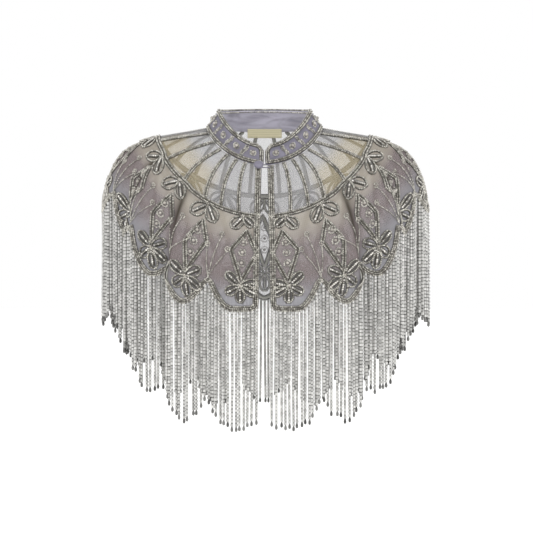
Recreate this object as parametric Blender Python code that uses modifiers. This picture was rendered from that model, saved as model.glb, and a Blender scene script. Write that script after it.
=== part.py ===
"""A beaded fringe cape: a short sheer capelet with a stand collar, a fan of beaded rays over the yoke, a
scalloped hem and a long fringe of bead strands, hollow as it hangs round a wearer's neck and shoulders.

Metres, +Z up. The wearer faces -Y, so their right side is at -X. The origin is in the middle of the neck
opening, 3 mm below the seam's two side points. Round the garment every place is a number u, counted in
scallops from the right front edge (0), over the right shoulder, round the back to the left front edge.
Down the cloth every place is a distance in metres from the neck seam.
"""

import math
from collections import namedtuple

import bmesh
import bpy
import numpy as np
from mathutils import Vector

MM = 0.001

# Counts that the whole layout follows
SCALLOPS = 19
FRONT_SCALLOPS = 5
STRANDS_PER_SCALLOP = 13

# Closed rings that steer the cloth from the neck seam to the hem. Depths are to the front and the back of
# the origin. Heights are at the front, side and back; a higher power keeps the side's height for longer,
# and corner_z is added halfway between. front_gap is half the opening.
Ring = namedtuple(
    "Ring", "half_width front_depth back_depth front_z side_z back_z power corner_z front_gap"
)
NECK = Ring(71.5, 60, 60, -46, 3, 4, 1.4, 0, 4.0)
SLOPE = Ring(142, 90, 96, -80, -11, -12, 1.8, 0, 4.5)
DROP = Ring(194, 134, 124, -146, 0, -104, 2.0, 0, 6.0)
HEM = Ring(202, 136, 118, -222, -101, -214, 2.4, -38, 7.0)
COLLAR_FOOT = Ring(71.5, 60, 60, -46, 3, 4, 1.4, 0, 1.0)
COLLAR_TOP = Ring(56, 50, 50, -22, 26, 31, 1.6, 0, 1.0)

# The yoke ends at a beaded line, this far down the cloth at the front, side and back
YOKE_FRONT = 78 * MM
YOKE_SIDE = 62 * MM
YOKE_BACK = 96 * MM

# Scallops: how far the notches and the front corners rise above the hem's lowest line, and how round
NOTCH_RISE = 33 * MM
NOTCH_POWER = 1.8
CORNER_RISE = 6 * MM
CORNER_POWER = 7

# Soft folds: where round the cape, how far out (or in, if negative) at the hem, and how wide in scallops
Fold = namedtuple("Fold", "u depth width")
FOLDS = (
    Fold(1.05, -3.0, 0.35),
    Fold(2.75, 2.0, 0.40),
    Fold(5.60, -3.0, 0.45),
    Fold(6.60, 3.0, 0.45),
    Fold(7.60, -4.0, 0.45),
    Fold(8.70, 3.0, 0.50),
    Fold(10.10, 3.5, 0.50),
    Fold(11.20, -4.5, 0.45),
    Fold(12.30, 3.5, 0.45),
    Fold(13.40, -3.0, 0.40),
    Fold(16.25, 2.0, 0.40),
    Fold(17.95, -3.0, 0.35),
)

# Deep folds, where the cloth nearer the front laps over what is behind: how far it steps back along the
# cape and inward at the hem, how sharply, and how far round the step fades out
Tuck = namedtuple("Tuck", "u along inward width reach")
TUCKS = (
    Tuck(1.92, 8.0, 6.0, 0.12, 0.55),
    Tuck(3.30, 6.0, 6.0, 0.14, 0.50),
    Tuck(15.75, 6.0, 6.5, 0.14, 0.50),
    Tuck(17.10, 8.0, 6.0, 0.12, 0.55),
)
TUCK_LEAN = 0.6
FOLD_START = 0.4

# The beaded rays on the right half, by their places at the collar and at the end of the yoke
Ray = namedtuple("Ray", "top foot")
FRONT_RAYS = (
    Ray(0.82, 0.53),
    Ray(1.30, 1.00),
    Ray(1.85, 1.43),
    Ray(2.36, 2.20),
    Ray(3.00, 3.10),
    Ray(3.80, 4.10),
)
BACK_RAYS = 12
FIRST_BACK_RAY = 5.25

# Cloth and trims
CLOTH = 1.5 * MM
SEAM_GAP = 0.3 * MM
NECK_ALLOWANCE = 1.2 * MM
EDGING_WIDTH = 6 * MM
EDGING_THICKNESS = 2 * MM
RAY_WIDTH = 3 * MM
YOKE_LINE_WIDTH = 5 * MM
RAY_START = 4 * MM
STEEPEST_EDGING = 2.0

# Collar
COLLAR_WALL = 1.4 * MM
LINING_WALL = 1.0 * MM
COLLAR_COLUMNS = 40
COLLAR_FOOT_SHARE = 0.02
COLLAR_EDGING_SHARE = 0.2
COLLAR_EDGING_TOP = 1.05
COLLAR_CORNER = 10 * MM
COLLAR_CORNER_DROP = 0.4

# Fringe
STRAND_LENGTH = 140 * MM
STRAND_WIDTH = 2.2 * MM
DROP_WIDTH = 2.8 * MM
DROP_LENGTH = 5 * MM
TAPE_HEIGHT = 3 * MM
TAPE_DEPTH = 1.8 * MM

# Button, loop and label
BUTTON_RADIUS = 6 * MM
BUTTON_HEIGHT = 5 * MM
SHANK_RADIUS = 1.6 * MM
SHANK_HEIGHT = 2 * MM
BUTTON_DOWN = 7 * MM
BUTTON_IN = 3 * MM
LOOP_CORD = 0.6 * MM
LABEL_WIDTH = 48 * MM
LABEL_HEIGHT = 11.5 * MM
LABEL_THICKNESS = 1.0 * MM
LABEL_SEAT = 0.16

# Mesh density
COLUMNS_PER_SCALLOP = 7
YOKE_ROWS = 3
BAND_ROWS = 4
CELLS_PER_SCALLOP = 24
DOWN_STEP = 2 * MM
DOWN_STEPS = 130
CURVE_STEPS = 64

Finish = namedtuple("Finish", "red green blue roughness metallic")
NET = Finish(0.53, 0.49, 0.50, 0.85, 0.0)
SATIN = Finish(0.33, 0.31, 0.43, 0.45, 0.0)
BEADS = Finish(0.50, 0.48, 0.43, 0.30, 0.6)
STRANDS = Finish(0.62, 0.61, 0.58, 0.25, 0.5)
CREAM = Finish(0.80, 0.72, 0.48, 0.80, 0.0)


def of_turn(front, side, back, power, turn):
    """A value with the given amounts at the front, side and back of the garment."""
    end = np.where(turn < math.pi / 2, front, back)
    return side + (end - side) * np.abs(np.cos(turn)) ** power


def ring_points(ring, turn, hand):
    """Points of a ring at turns from the front; hand is -1 on the wearer's right and 1 on the left."""
    depth = np.where(turn < math.pi / 2, ring.front_depth, ring.back_depth)
    height = of_turn(ring.front_z, ring.side_z, ring.back_z, ring.power, turn)
    height = height + ring.corner_z * np.sin(2 * turn) ** 2 * np.abs(np.cos(turn))
    x = hand * ring.half_width * np.sin(turn)
    return np.stack([x, -depth * np.cos(turn), height], axis=-1) * MM


def lengths_along(points):
    """Distances along a line of points, from its first one."""
    steps = np.linalg.norm(np.diff(points, axis=0), axis=-1)
    return np.concatenate([np.zeros((1, *steps.shape[1:])), np.cumsum(steps, axis=0)])


def even_turns():
    """Shares of the way along the hem ring, front to back, and the turn at each."""
    turns = np.linspace(0, math.pi, 361)
    along = lengths_along(ring_points(HEM, turns, 1.0))
    return along / along[-1], turns


SHARES, TURNS = even_turns()


def hand_and_share(u):
    """Which hand places round the garment are on, and their share of the way from front edge to back."""
    half = SCALLOPS / 2
    u = np.asarray(u, dtype=float)
    return np.where(u <= half, -1.0, 1.0), np.where(u <= half, u, SCALLOPS - u) / half


def turn_of(ring, share, evenness):
    """The turn of a share of a ring: evenness 0 spaces turns evenly, and 1 follows the hem's length."""
    start = math.asin(ring.front_gap / ring.half_width)
    turn = (1 - evenness) * share * math.pi + evenness * np.interp(share, SHARES, TURNS)
    return start + (math.pi - start) * turn / math.pi


def smooth(share):
    """A soft step from 0 to 1."""
    share = np.clip(share, 0, 1)
    return share * share * (3 - 2 * share)


def unit(vectors):
    return vectors / np.linalg.norm(vectors, axis=-1, keepdims=True)


def drape(u, hand, turn):
    """How far the folds move the hem at each place u, as vectors."""
    level = np.zeros_like(turn)
    out = [hand * np.sin(turn) / HEM.half_width, -np.cos(turn) / HEM.front_depth, level]
    out = unit(np.stack(out, axis=-1))
    back = [hand * np.cos(turn) * HEM.half_width, np.sin(turn) * HEM.front_depth, level]
    back = unit(np.stack(back, axis=-1))
    move = np.zeros_like(out)
    for fold in FOLDS:
        wave = fold.depth * np.exp(-(((u - fold.u) / fold.width) ** 2))
        move += out * wave[:, None]
    for tuck in TUCKS:
        behind = (u - tuck.u) * (1 if tuck.u < SCALLOPS / 2 else -1)
        step = np.tanh(behind / tuck.width) + TUCK_LEAN
        wave = -step * np.exp(-((behind / tuck.reach) ** 2))
        move += (back * tuck.along + out * tuck.inward) * wave[:, None]
    return move * MM


def draped_cloth():
    """Points of the cloth's inner face on an even grid of places round and distances down, the length of
    each line down it, and how far down each of them the yoke ends."""
    u = np.linspace(0, SCALLOPS, SCALLOPS * CELLS_PER_SCALLOP + 1)
    hand, share = hand_and_share(u)
    rings = ((NECK, 0.0), (SLOPE, 0.5), (DROP, 1.0), (HEM, 1.0))
    controls = [ring_points(ring, turn_of(ring, share, even), hand) for ring, even in rings]
    t = np.linspace(0, 1, CURVE_STEPS + 1)[:, None, None]
    weights = ((1 - t) ** 3, 3 * t * (1 - t) ** 2, 3 * t * t * (1 - t), t**3)
    curves = sum(weight * control for weight, control in zip(weights, controls))
    along = lengths_along(curves)
    length = along[-1]
    turn = turn_of(HEM, share, 1.0)
    yoke = of_turn(YOKE_FRONT, YOKE_SIDE, YOKE_BACK, 2.0, turn)
    move = drape(u, hand, turn)
    down = np.arange(DOWN_STEPS + 1) * DOWN_STEP
    grid = np.empty((len(u), len(down), 3))
    for i in range(len(u)):
        for axis in range(3):
            grid[i, :, axis] = np.interp(down, along[:, i], curves[:, i, axis])
        past_end = np.maximum(0, down - length[i])[:, None]
        grid[i] += past_end * unit(curves[-1, i] - curves[-2, i])
        start = FOLD_START * yoke[i]
        grid[i] += smooth((down - start) / (length[i] - start))[:, None] * move[i]
    return u, grid, length, yoke


PLACES, GRID, LENGTHS, YOKE_ENDS = draped_cloth()


def cloth(u, down):
    """The points of the cloth's inner face at u round the garment and this far down from the neck seam."""
    u, down = np.broadcast_arrays(np.asarray(u, dtype=float), np.asarray(down, dtype=float))
    across = np.clip(u * CELLS_PER_SCALLOP, 0, SCALLOPS * CELLS_PER_SCALLOP - 1e-9)
    along = np.clip(down / DOWN_STEP, 0, DOWN_STEPS - 1e-9)
    i, j = across.astype(int), along.astype(int)
    right, low = (across - i)[..., None], (along - j)[..., None]
    top = GRID[i, j] * (1 - right) + GRID[i + 1, j] * right
    foot = GRID[i, j + 1] * (1 - right) + GRID[i + 1, j + 1] * right
    return top * (1 - low) + foot * low


def inside(u):
    return np.clip(u, 0, SCALLOPS)


def pace(u, down):
    """How many metres of cloth one scallop's width spans, across the garment at this place."""
    low, high = inside(np.asarray(u) - 0.03), inside(np.asarray(u) + 0.03)
    return np.linalg.norm(cloth(high, down) - cloth(low, down), axis=-1) / (high - low)


def beside(u, down, metres):
    """The place a few metres of cloth across from u, at the same distance down."""
    return inside(u + metres / pace(u, down))


def outward(u, down):
    """The cloth's outward direction."""
    u, down = np.asarray(u, dtype=float), np.asarray(down, dtype=float)
    across = cloth(inside(u + 0.04), down) - cloth(inside(u - 0.04), down)
    top = np.maximum(0, down - 2 * MM)
    downward = cloth(u, down + 2 * MM) - cloth(u, top)
    return unit(np.cross(across, downward))


def length(u):
    return np.interp(u, PLACES, LENGTHS)


def yoke_end(u):
    return np.interp(u, PLACES, YOKE_ENDS)


def rise(u):
    """How far the hem's edge stands above its lowest level: 0 at a scallop's middle, most at a notch."""
    u = np.asarray(u, dtype=float)
    from_middle = np.where(u >= SCALLOPS, 1.0, np.abs(2 * (u - np.floor(u)) - 1))
    corner = (u < 0.5) | (u > SCALLOPS - 0.5)
    notch = NOTCH_RISE * from_middle**NOTCH_POWER
    return np.where(corner, CORNER_RISE * from_middle**CORNER_POWER, notch)


def hem(u):
    """How far down the cloth's edge is."""
    return length(u) - rise(u)


def edging_top(u):
    """How far down the hem's edging starts, so that it stays as wide on the steep sides of a notch."""
    nearest = round(u)
    low, high = inside(u - 0.03), inside(u + 0.03)
    if abs(u - nearest) < 0.03 and 0 < nearest < SCALLOPS:
        low, high = nearest - 0.06, nearest
    slope = abs(rise(high) - rise(low)) / ((high - low) * pace(u, hem(u)))
    return hem(u) - EDGING_WIDTH * math.hypot(1, min(slope, STEEPEST_EDGING))


def new_object(name, data, finish, collection):
    made = bpy.data.objects.new(name, data)
    material = bpy.data.materials.new(name)
    material.use_nodes = True
    shader = material.node_tree.nodes["Principled BSDF"]
    shader.inputs["Base Color"].default_value = (finish.red, finish.green, finish.blue, 1)
    shader.inputs["Roughness"].default_value = finish.roughness
    shader.inputs["Metallic"].default_value = finish.metallic
    made.data.materials.append(material)
    collection.objects.link(made)
    return made


def sheet(name, points, thickness, finish, collection, keep=None):
    """A wall over a grid of points, a list of columns. keep(i, j) says which of its cells are there."""
    bm = bmesh.new()
    grid = [[bm.verts.new(point) for point in column] for column in points]
    for i in range(len(grid) - 1):
        for j in range(len(grid[0]) - 1):
            if keep is None or keep(i, j):
                bm.faces.new((grid[i][j], grid[i + 1][j], grid[i + 1][j + 1], grid[i][j + 1]))
    loose = [vertex for vertex in bm.verts if not vertex.link_faces]
    bmesh.ops.delete(bm, geom=loose, context="VERTS")
    mesh = bpy.data.meshes.new(name)
    bm.to_mesh(mesh)
    bm.free()
    mesh.shade_smooth()
    made = new_object(name, mesh, finish, collection)
    wall = made.modifiers.new("wall", "SOLIDIFY")
    wall.thickness = thickness
    wall.offset = 1
    wall.use_even_offset = True
    wall.use_quality_normals = True
    return made


# A column of a sheet: its place u, metres of cloth across from there, and how far it leans at the top
Column = namedtuple("Column", "u metres lean", defaults=(0, 0))


def on_cloth(columns, rows_at, lift):
    """Points on the cloth, moved out by lift. rows_at(u) lists how far down each row is at a column."""
    points = []
    for column in columns:
        rows = np.array(rows_at(column.u))
        u = column.u + column.lean * (1 - rows / yoke_end(column.u))
        points.append(cloth(beside(u, rows, column.metres), rows))
    points = np.array(points)
    return points + even_offsets(points) * lift


def even_offsets(points):
    """The move out from each point of a grid that puts every cell one unit further out."""
    rising = points[1:, 1:] - points[:-1, :-1]
    falling = points[:-1, 1:] - points[1:, :-1]
    cells = unit(np.cross(rising, falling))
    normals = np.zeros_like(points)
    before, after = slice(None, -1), slice(1, None)
    corners = ((before, before), (before, after), (after, before), (after, after))
    for corner in corners:
        normals[corner] += cells
    normals = unit(normals)
    nearness = np.zeros(points.shape[:2])
    shared = np.zeros(points.shape[:2])
    for corner in corners:
        nearness[corner] += np.sum(normals[corner] * cells, axis=-1)
        shared[corner] += 1
    return normals * (shared / nearness)[..., None]


def seam_columns(first, last):
    """Columns from one seam or front edge to the next, with a narrow strip at a front edge."""
    per = COLUMNS_PER_SCALLOP
    columns = [Column(step / per) for step in range(first * per + 1, last * per)]
    if first == 0:
        columns = [Column(0), Column(0, EDGING_WIDTH)] + columns[1:]
    else:
        columns.insert(0, Column(first, SEAM_GAP / 2))
    if last == SCALLOPS:
        columns = columns[:-1] + [Column(SCALLOPS, -EDGING_WIDTH), Column(SCALLOPS)]
    else:
        columns.append(Column(last, -SEAM_GAP / 2))
    return columns


def panel_rows(u):
    """How far down each row of a panel is: the yoke's, those beside its beaded line, and the band's."""
    line = yoke_end(u)
    yoke = np.linspace(NECK_ALLOWANCE, line - YOKE_LINE_WIDTH / 2, YOKE_ROWS + 1)
    band = np.linspace(line + YOKE_LINE_WIDTH / 2, edging_top(u), BAND_ROWS + 1)
    return [*yoke, *band, hem(u)]


def panel(name, first, last, collection):
    return sheet(name, on_cloth(seam_columns(first, last), panel_rows, 0), CLOTH, NET, collection)


def edging(name, first, last, collection):
    """The beaded edge of a panel: along its hem, and up a front's open edge."""
    columns = seam_columns(first, last)
    points = on_cloth(columns, panel_rows, CLOTH + SEAM_GAP)
    last_row = len(points[0]) - 2
    last_column = len(columns) - 2

    def keep(i, j):
        front_strip = (first == 0 and i == 0) or (last == SCALLOPS and i == last_column)
        return j == last_row or front_strip

    return sheet(name, points, EDGING_THICKNESS, BEADS, collection, keep)


def all_rays():
    """The rays from the right front, round the back, to the left front."""
    back = [Ray(u, u) for u in np.linspace(FIRST_BACK_RAY, SCALLOPS - FIRST_BACK_RAY, BACK_RAYS)]
    left = [Ray(SCALLOPS - ray.top, SCALLOPS - ray.foot) for ray in reversed(FRONT_RAYS)]
    return [*FRONT_RAYS, *back, *left]


def yoke_beading(name, first, last, collection):
    """The beaded line that ends the yoke on one panel, with the rays that run up from it to the collar."""
    clear = EDGING_WIDTH + SEAM_GAP
    rays = [ray for ray in all_rays() if first < ray.foot < last]
    stops = [Ray(first, first), *rays, Ray(last, last)]
    columns = [Column(first, clear if first == 0 else SEAM_GAP / 2)]
    ray_cells = set()
    for before, ray in zip(stops, stops[1:]):
        for part in (1 / 3, 2 / 3):
            foot = before.foot + (ray.foot - before.foot) * part
            top = before.top + (ray.top - before.top) * part
            columns.append(Column(foot, 0, top - foot))
        if ray in rays:
            ray_cells.add(len(columns))
            lean = ray.top - ray.foot
            columns += [Column(ray.foot, side, lean) for side in (-RAY_WIDTH / 2, RAY_WIDTH / 2)]
    columns.append(Column(last, -clear if last == SCALLOPS else -SEAM_GAP / 2))
    points = on_cloth(columns, lambda u: panel_rows(u)[: YOKE_ROWS + 2], CLOTH + 2 * SEAM_GAP)
    for column in points:
        top_row = np.linalg.norm(column[1] - column[0])
        column[0] += (column[1] - column[0]) * (RAY_START - NECK_ALLOWANCE) / top_row

    def keep(i, j):
        return j == YOKE_ROWS or i in ray_cells

    return sheet(name, points, EDGING_THICKNESS, BEADS, collection, keep)


def strand(bm, roots, outer):
    """One strand of the fringe, four sides from the tape's foot down to a pointed drop."""
    centre = sum((vertex.co for vertex in roots), Vector()) / 4
    along = outer.cross(Vector((0, 0, 1)))
    ring = []
    for root in roots:
        side = DROP_WIDTH / 2 * math.copysign(1, (root.co - centre).dot(along))
        front = DROP_WIDTH / 2 * math.copysign(1, (root.co - centre).dot(outer))
        foot = Vector((0, 0, STRAND_LENGTH - DROP_LENGTH))
        ring.append(bm.verts.new(centre + along * side + outer * front - foot))
    tip = bm.verts.new(centre - Vector((0, 0, STRAND_LENGTH)))
    for k in range(4):
        after = (k + 1) % 4
        bm.faces.new((roots[k], roots[after], ring[after], ring[k]))
        bm.faces.new((ring[k], ring[after], tip))


def fringe(name, first, last, collection):
    """The fringe of one panel: a narrow tape just under the hem, with the strands grown down out of it."""
    bm = bmesh.new()

    def section(u, metres):
        place = float(beside(u, hem(u), metres))
        edge = float(hem(place)) + SEAM_GAP
        normal = Vector(outward(place, edge))
        outer = Vector((normal.x, normal.y, 0)).normalized()
        top = Vector(cloth(place, edge)) + normal * CLOTH / 2
        foot = top - Vector((0, 0, TAPE_HEIGHT))
        points = (top, foot + outer * TAPE_DEPTH / 2, foot - outer * TAPE_DEPTH / 2)
        return [bm.verts.new(point) for point in points], outer

    places = [(first, SEAM_GAP if first else STRAND_WIDTH / 2)]
    strand_cells = set()
    for scallop in range(first, last):
        for number in range(STRANDS_PER_SCALLOP):
            u = scallop + (number + 0.5) / STRANDS_PER_SCALLOP
            strand_cells.add(len(places))
            places += [(u, -STRAND_WIDTH / 2), (u, STRAND_WIDTH / 2)]
        if scallop + 1 < last:
            places.append((scallop + 1, 0))
    places.append((last, -SEAM_GAP if last < SCALLOPS else -STRAND_WIDTH / 2))
    sections = [section(*place) for place in places]
    for i, ((here, outer), (after, _)) in enumerate(zip(sections, sections[1:])):
        bm.faces.new((here[0], after[0], after[1], here[1]))
        bm.faces.new((here[0], here[2], after[2], after[0]))
        roots = [here[1], after[1], after[2], here[2]]
        if i in strand_cells:
            strand(bm, roots, outer)
        else:
            bm.faces.new(roots)
    bm.faces.new(sections[0][0])
    bm.faces.new(reversed(sections[-1][0]))
    bmesh.ops.recalc_face_normals(bm, faces=bm.faces)
    mesh = bpy.data.meshes.new(name)
    bm.to_mesh(mesh)
    bm.free()
    return new_object(name, mesh, STRANDS, collection)


def collar_points(u, share, lift):
    """Points of the collar, share of the way up from its foot, moved out from the lining's side by lift."""
    hand, along = hand_and_share(u)
    turn = turn_of(COLLAR_FOOT, along, 0.0)
    foot = ring_points(COLLAR_FOOT, turn, hand)
    top = ring_points(COLLAR_TOP, turn_of(COLLAR_TOP, along, 0.0), hand)
    tangent = (ring_points(COLLAR_FOOT, turn + 0.01, hand) - foot) * -hand
    return foot + (top - foot) * share + unit(np.cross(tangent, foot - top)) * lift


def collar_places():
    """Columns of the collar, closer together at its two round front corners."""
    ends = [0.0, 0.06, 0.14, 0.24, 0.36]
    middle = np.linspace(0.5, SCALLOPS - 0.5, COLLAR_COLUMNS - 2 * len(ends))
    return [*ends, *middle, *(SCALLOPS - u for u in reversed(ends))]


def collar_height(u):
    """The share of the collar's height that it has here: less at the round front corners."""
    scallop_width = math.pi * (NECK.half_width + NECK.front_depth) * MM / SCALLOPS
    from_end = min(u, SCALLOPS - u) * scallop_width
    return 1 - COLLAR_CORNER_DROP * max(0.0, 1 - from_end / COLLAR_CORNER) ** 2


def collar_wall(name, thickness, lift, finish, collection):
    shares = (1, 2 / 3, 1 / 3, COLLAR_FOOT_SHARE)
    columns = [[collar_points(u, s * collar_height(u), lift) for s in shares] for u in collar_places()]
    return sheet(name, columns, thickness, finish, collection)


def collar_edging(collection):
    """The beaded frame round the collar: its top edge, both front ends and its foot."""
    shares = (COLLAR_EDGING_TOP, 1 - COLLAR_EDGING_SHARE, COLLAR_EDGING_SHARE, 0.04)
    lift = COLLAR_WALL + SEAM_GAP
    columns = [[collar_points(u, s * collar_height(u), lift) for s in shares] for u in collar_places()]
    last_cell = len(columns) - 2

    def keep(i, j):
        return j != 1 or i < 3 or i > last_cell - 3

    return sheet("collar_edging", columns, EDGING_THICKNESS, BEADS, collection, keep)


def label(collection):
    """A plain woven label that hangs inside, from the collar's lining at centre back."""
    middle = SCALLOPS / 2
    half = LABEL_WIDTH / 2 / pace(middle, NECK_ALLOWANCE)
    columns = []
    for u in np.linspace(middle - half, middle + half, 9):
        top = collar_points(u, LABEL_SEAT, -2 * SEAM_GAP - LINING_WALL - LABEL_THICKNESS)
        columns.append([top, top - (0, 0, LABEL_HEIGHT)])
    return sheet("neck_label", columns, LABEL_THICKNESS, CREAM, collection)


def turned(name, profile, steps, finish, collection):
    """A solid turned about Z from a profile of (radius, height) points, from the top's middle down."""
    mesh = bpy.data.meshes.new(name)
    points = [(radius, 0, height) for radius, height in profile]
    mesh.from_pydata(points, [(k, k + 1) for k in range(len(points) - 1)], [])
    made = new_object(name, mesh, finish, collection)
    spin = made.modifiers.new("spin", "SCREW")
    spin.steps = steps
    spin.render_steps = steps
    spin.use_merge_vertices = True
    spin.merge_threshold = 0.00001
    return made


def button(collection):
    """A cloth-covered button on its shank, on the right front just under the collar's end."""
    place = beside(0, BUTTON_DOWN, BUTTON_IN)
    seat = CLOTH + EDGING_THICKNESS + 2 * SEAM_GAP
    dome = [
        (BUTTON_RADIUS * math.sin(angle), SHANK_HEIGHT + BUTTON_HEIGHT * (0.35 + 0.65 * math.cos(angle)))
        for angle in np.radians((0, 30, 55, 75, 90))
    ]
    rim = (BUTTON_RADIUS * 0.86, SHANK_HEIGHT)
    profile = [*dome, rim, (SHANK_RADIUS, SHANK_HEIGHT), (SHANK_RADIUS, 0), (0, 0)]
    made = turned("button", profile, 14, SATIN, collection)
    normal = Vector(outward(place, BUTTON_DOWN))
    made.location = Vector(cloth(place, BUTTON_DOWN)) + normal * seat
    made.rotation_mode = "QUATERNION"
    made.rotation_quaternion = normal.to_track_quat("Z", "Y")
    return made


def button_loop(button_object, collection):
    """A fine cord loop, from the left front's edging round the button's shank."""
    normal = button_object.rotation_quaternion @ Vector((0, 0, 1))
    centre = button_object.location + normal * SHANK_HEIGHT / 2
    left_edge = beside(SCALLOPS, BUTTON_DOWN, -BUTTON_IN)
    seat = CLOTH + EDGING_THICKNESS + 2 * SEAM_GAP + LOOP_CORD + 0.2 * MM
    anchor = Vector(cloth(left_edge, BUTTON_DOWN) + outward(left_edge, BUTTON_DOWN) * seat)
    reach = (anchor - centre).normalized()
    side = normal.cross(reach).normalized()
    radius = SHANK_RADIUS + LOOP_CORD + SEAM_GAP
    round_shank = [
        centre + (side * math.sin(angle) - reach * math.cos(angle)) * radius
        for angle in np.radians((90, 60, 30, 0, -30, -60, -90))
    ]
    points = [anchor + side * radius * 0.8, *round_shank, anchor - side * radius * 0.8]
    curve = bpy.data.curves.new("button_loop", "CURVE")
    curve.dimensions = "3D"
    curve.bevel_depth = LOOP_CORD
    curve.bevel_resolution = 1
    curve.use_fill_caps = True
    spline = curve.splines.new("POLY")
    spline.points.add(len(points) - 1)
    for spot, point in zip(spline.points, points):
        spot.co = (*point, 1)
    return new_object("button_loop", curve, SATIN, collection)


def main():
    for old in list(bpy.data.objects):
        bpy.data.objects.remove(old)
    collection = bpy.data.collections.new("beaded_fringe_cape")
    bpy.context.scene.collection.children.link(collection)
    back_end = SCALLOPS - FRONT_SCALLOPS
    panels = (
        ("front_right", 0, FRONT_SCALLOPS),
        ("back", FRONT_SCALLOPS, back_end),
        ("front_left", back_end, SCALLOPS),
    )
    for name, first, last in panels:
        panel(name, first, last, collection)
        edging(name + "_edging", first, last, collection)
        yoke_beading(name + "_yoke_beading", first, last, collection)
        fringe(name + "_fringe", first, last, collection)
    collar_wall("collar", COLLAR_WALL, 0, SATIN, collection)
    collar_wall("collar_lining", LINING_WALL, -SEAM_GAP - LINING_WALL, SATIN, collection)
    collar_edging(collection)
    label(collection)
    made = button(collection)
    button_loop(made, collection)


main()
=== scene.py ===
"""The looks of a beaded fringe cape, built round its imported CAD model.

Metres, +Z up, in the frame of the CAD model. The wearer faces -Y and their right side is at -X. Round the
garment every place is a number u, counted in scallops from the right front edge (0), over the right
shoulder, round the back to the left front edge (19). Down the cloth every place is a distance from the neck.
"""

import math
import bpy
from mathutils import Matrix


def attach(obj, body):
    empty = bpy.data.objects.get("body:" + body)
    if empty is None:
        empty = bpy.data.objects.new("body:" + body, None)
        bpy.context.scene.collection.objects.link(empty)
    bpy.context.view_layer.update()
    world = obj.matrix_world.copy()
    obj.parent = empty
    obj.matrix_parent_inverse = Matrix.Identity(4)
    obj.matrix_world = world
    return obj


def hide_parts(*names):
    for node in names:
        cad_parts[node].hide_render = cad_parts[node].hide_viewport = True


bl_info = {
    "name": "Beaded fringe cape",
    "version": (1, 0, 0),
    "blender": (4, 5, 0),
    "location": "3D View > Sidebar > Cape",
    "description": "Net, satin, beads, pearls and fringe of a beaded cape, on its CAD model",
    "category": "Object",
}

from collections import namedtuple

import bpy
import numpy as np
from mathutils import Vector

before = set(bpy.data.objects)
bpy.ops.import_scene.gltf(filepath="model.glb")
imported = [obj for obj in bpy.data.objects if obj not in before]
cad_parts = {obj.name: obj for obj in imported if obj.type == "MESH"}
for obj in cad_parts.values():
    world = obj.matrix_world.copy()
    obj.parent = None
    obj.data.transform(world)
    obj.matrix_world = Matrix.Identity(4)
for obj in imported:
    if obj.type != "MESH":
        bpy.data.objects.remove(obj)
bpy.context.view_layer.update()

MM = 0.001
BODY = "root"

# The cloth's form, as in the CAD model
SCALLOPS = 19
FRONT_SCALLOPS = 5
STRANDS_PER_SCALLOP = 13
Ring = namedtuple(
    "Ring", "half_width front_depth back_depth front_z side_z back_z power corner_z front_gap"
)
NECK = Ring(71.5, 60, 60, -46, 3, 4, 1.4, 0, 4.0)
SLOPE = Ring(142, 90, 96, -80, -11, -12, 1.8, 0, 4.5)
DROP = Ring(194, 134, 124, -146, 0, -104, 2.0, 0, 6.0)
HEM = Ring(202, 136, 118, -222, -101, -214, 2.4, -38, 7.0)
COLLAR_FOOT = Ring(71.5, 60, 60, -46, 3, 4, 1.4, 0, 1.0)
COLLAR_TOP = Ring(56, 50, 50, -22, 26, 31, 1.6, 0, 1.0)
YOKE_FRONT = 78 * MM
YOKE_SIDE = 62 * MM
YOKE_BACK = 96 * MM
NOTCH_RISE = 33 * MM
NOTCH_POWER = 1.8
CORNER_RISE = 6 * MM
CORNER_POWER = 7
Fold = namedtuple("Fold", "u depth width")
FOLDS = (
    Fold(1.05, -3.0, 0.35),
    Fold(2.75, 2.0, 0.40),
    Fold(5.60, -3.0, 0.45),
    Fold(6.60, 3.0, 0.45),
    Fold(7.60, -4.0, 0.45),
    Fold(8.70, 3.0, 0.50),
    Fold(10.10, 3.5, 0.50),
    Fold(11.20, -4.5, 0.45),
    Fold(12.30, 3.5, 0.45),
    Fold(13.40, -3.0, 0.40),
    Fold(16.25, 2.0, 0.40),
    Fold(17.95, -3.0, 0.35),
)
# Shallow creases that only the cloth seen here has
CREASES = (
    Fold(0.62, 1.2, 0.10),
    Fold(1.48, -1.2, 0.12),
    Fold(2.35, 1.4, 0.12),
    Fold(4.10, 1.5, 0.14),
    Fold(4.62, -1.4, 0.12),
    Fold(7.15, 1.3, 0.13),
    Fold(9.35, -1.4, 0.14),
    Fold(11.80, 1.3, 0.13),
    Fold(14.45, 1.4, 0.12),
    Fold(14.95, -1.5, 0.14),
    Fold(16.70, 1.4, 0.12),
    Fold(17.45, -1.2, 0.12),
    Fold(18.40, 1.2, 0.10),
)
Tuck = namedtuple("Tuck", "u along inward width reach")
TUCKS = (
    Tuck(1.92, 8.0, 6.0, 0.12, 0.55),
    Tuck(3.30, 6.0, 6.0, 0.14, 0.50),
    Tuck(15.75, 6.0, 6.5, 0.14, 0.50),
    Tuck(17.10, 8.0, 6.0, 0.12, 0.55),
)
TUCK_LEAN = 0.6
FOLD_START = 0.4
Ray = namedtuple("Ray", "top foot")
FRONT_RAYS = (
    Ray(0.82, 0.53),
    Ray(1.30, 1.00),
    Ray(1.85, 1.43),
    Ray(2.36, 2.20),
    Ray(3.00, 3.10),
    Ray(3.80, 4.10),
)
BACK_RAYS = 12
FIRST_BACK_RAY = 5.25
SEAM_GAP = 0.3 * MM
NECK_ALLOWANCE = 1.2 * MM
STRAND_LENGTH = 140 * MM
CELLS_PER_SCALLOP = 24
DOWN_STEP = 2 * MM
DOWN_STEPS = 130
CURVE_STEPS = 64

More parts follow.
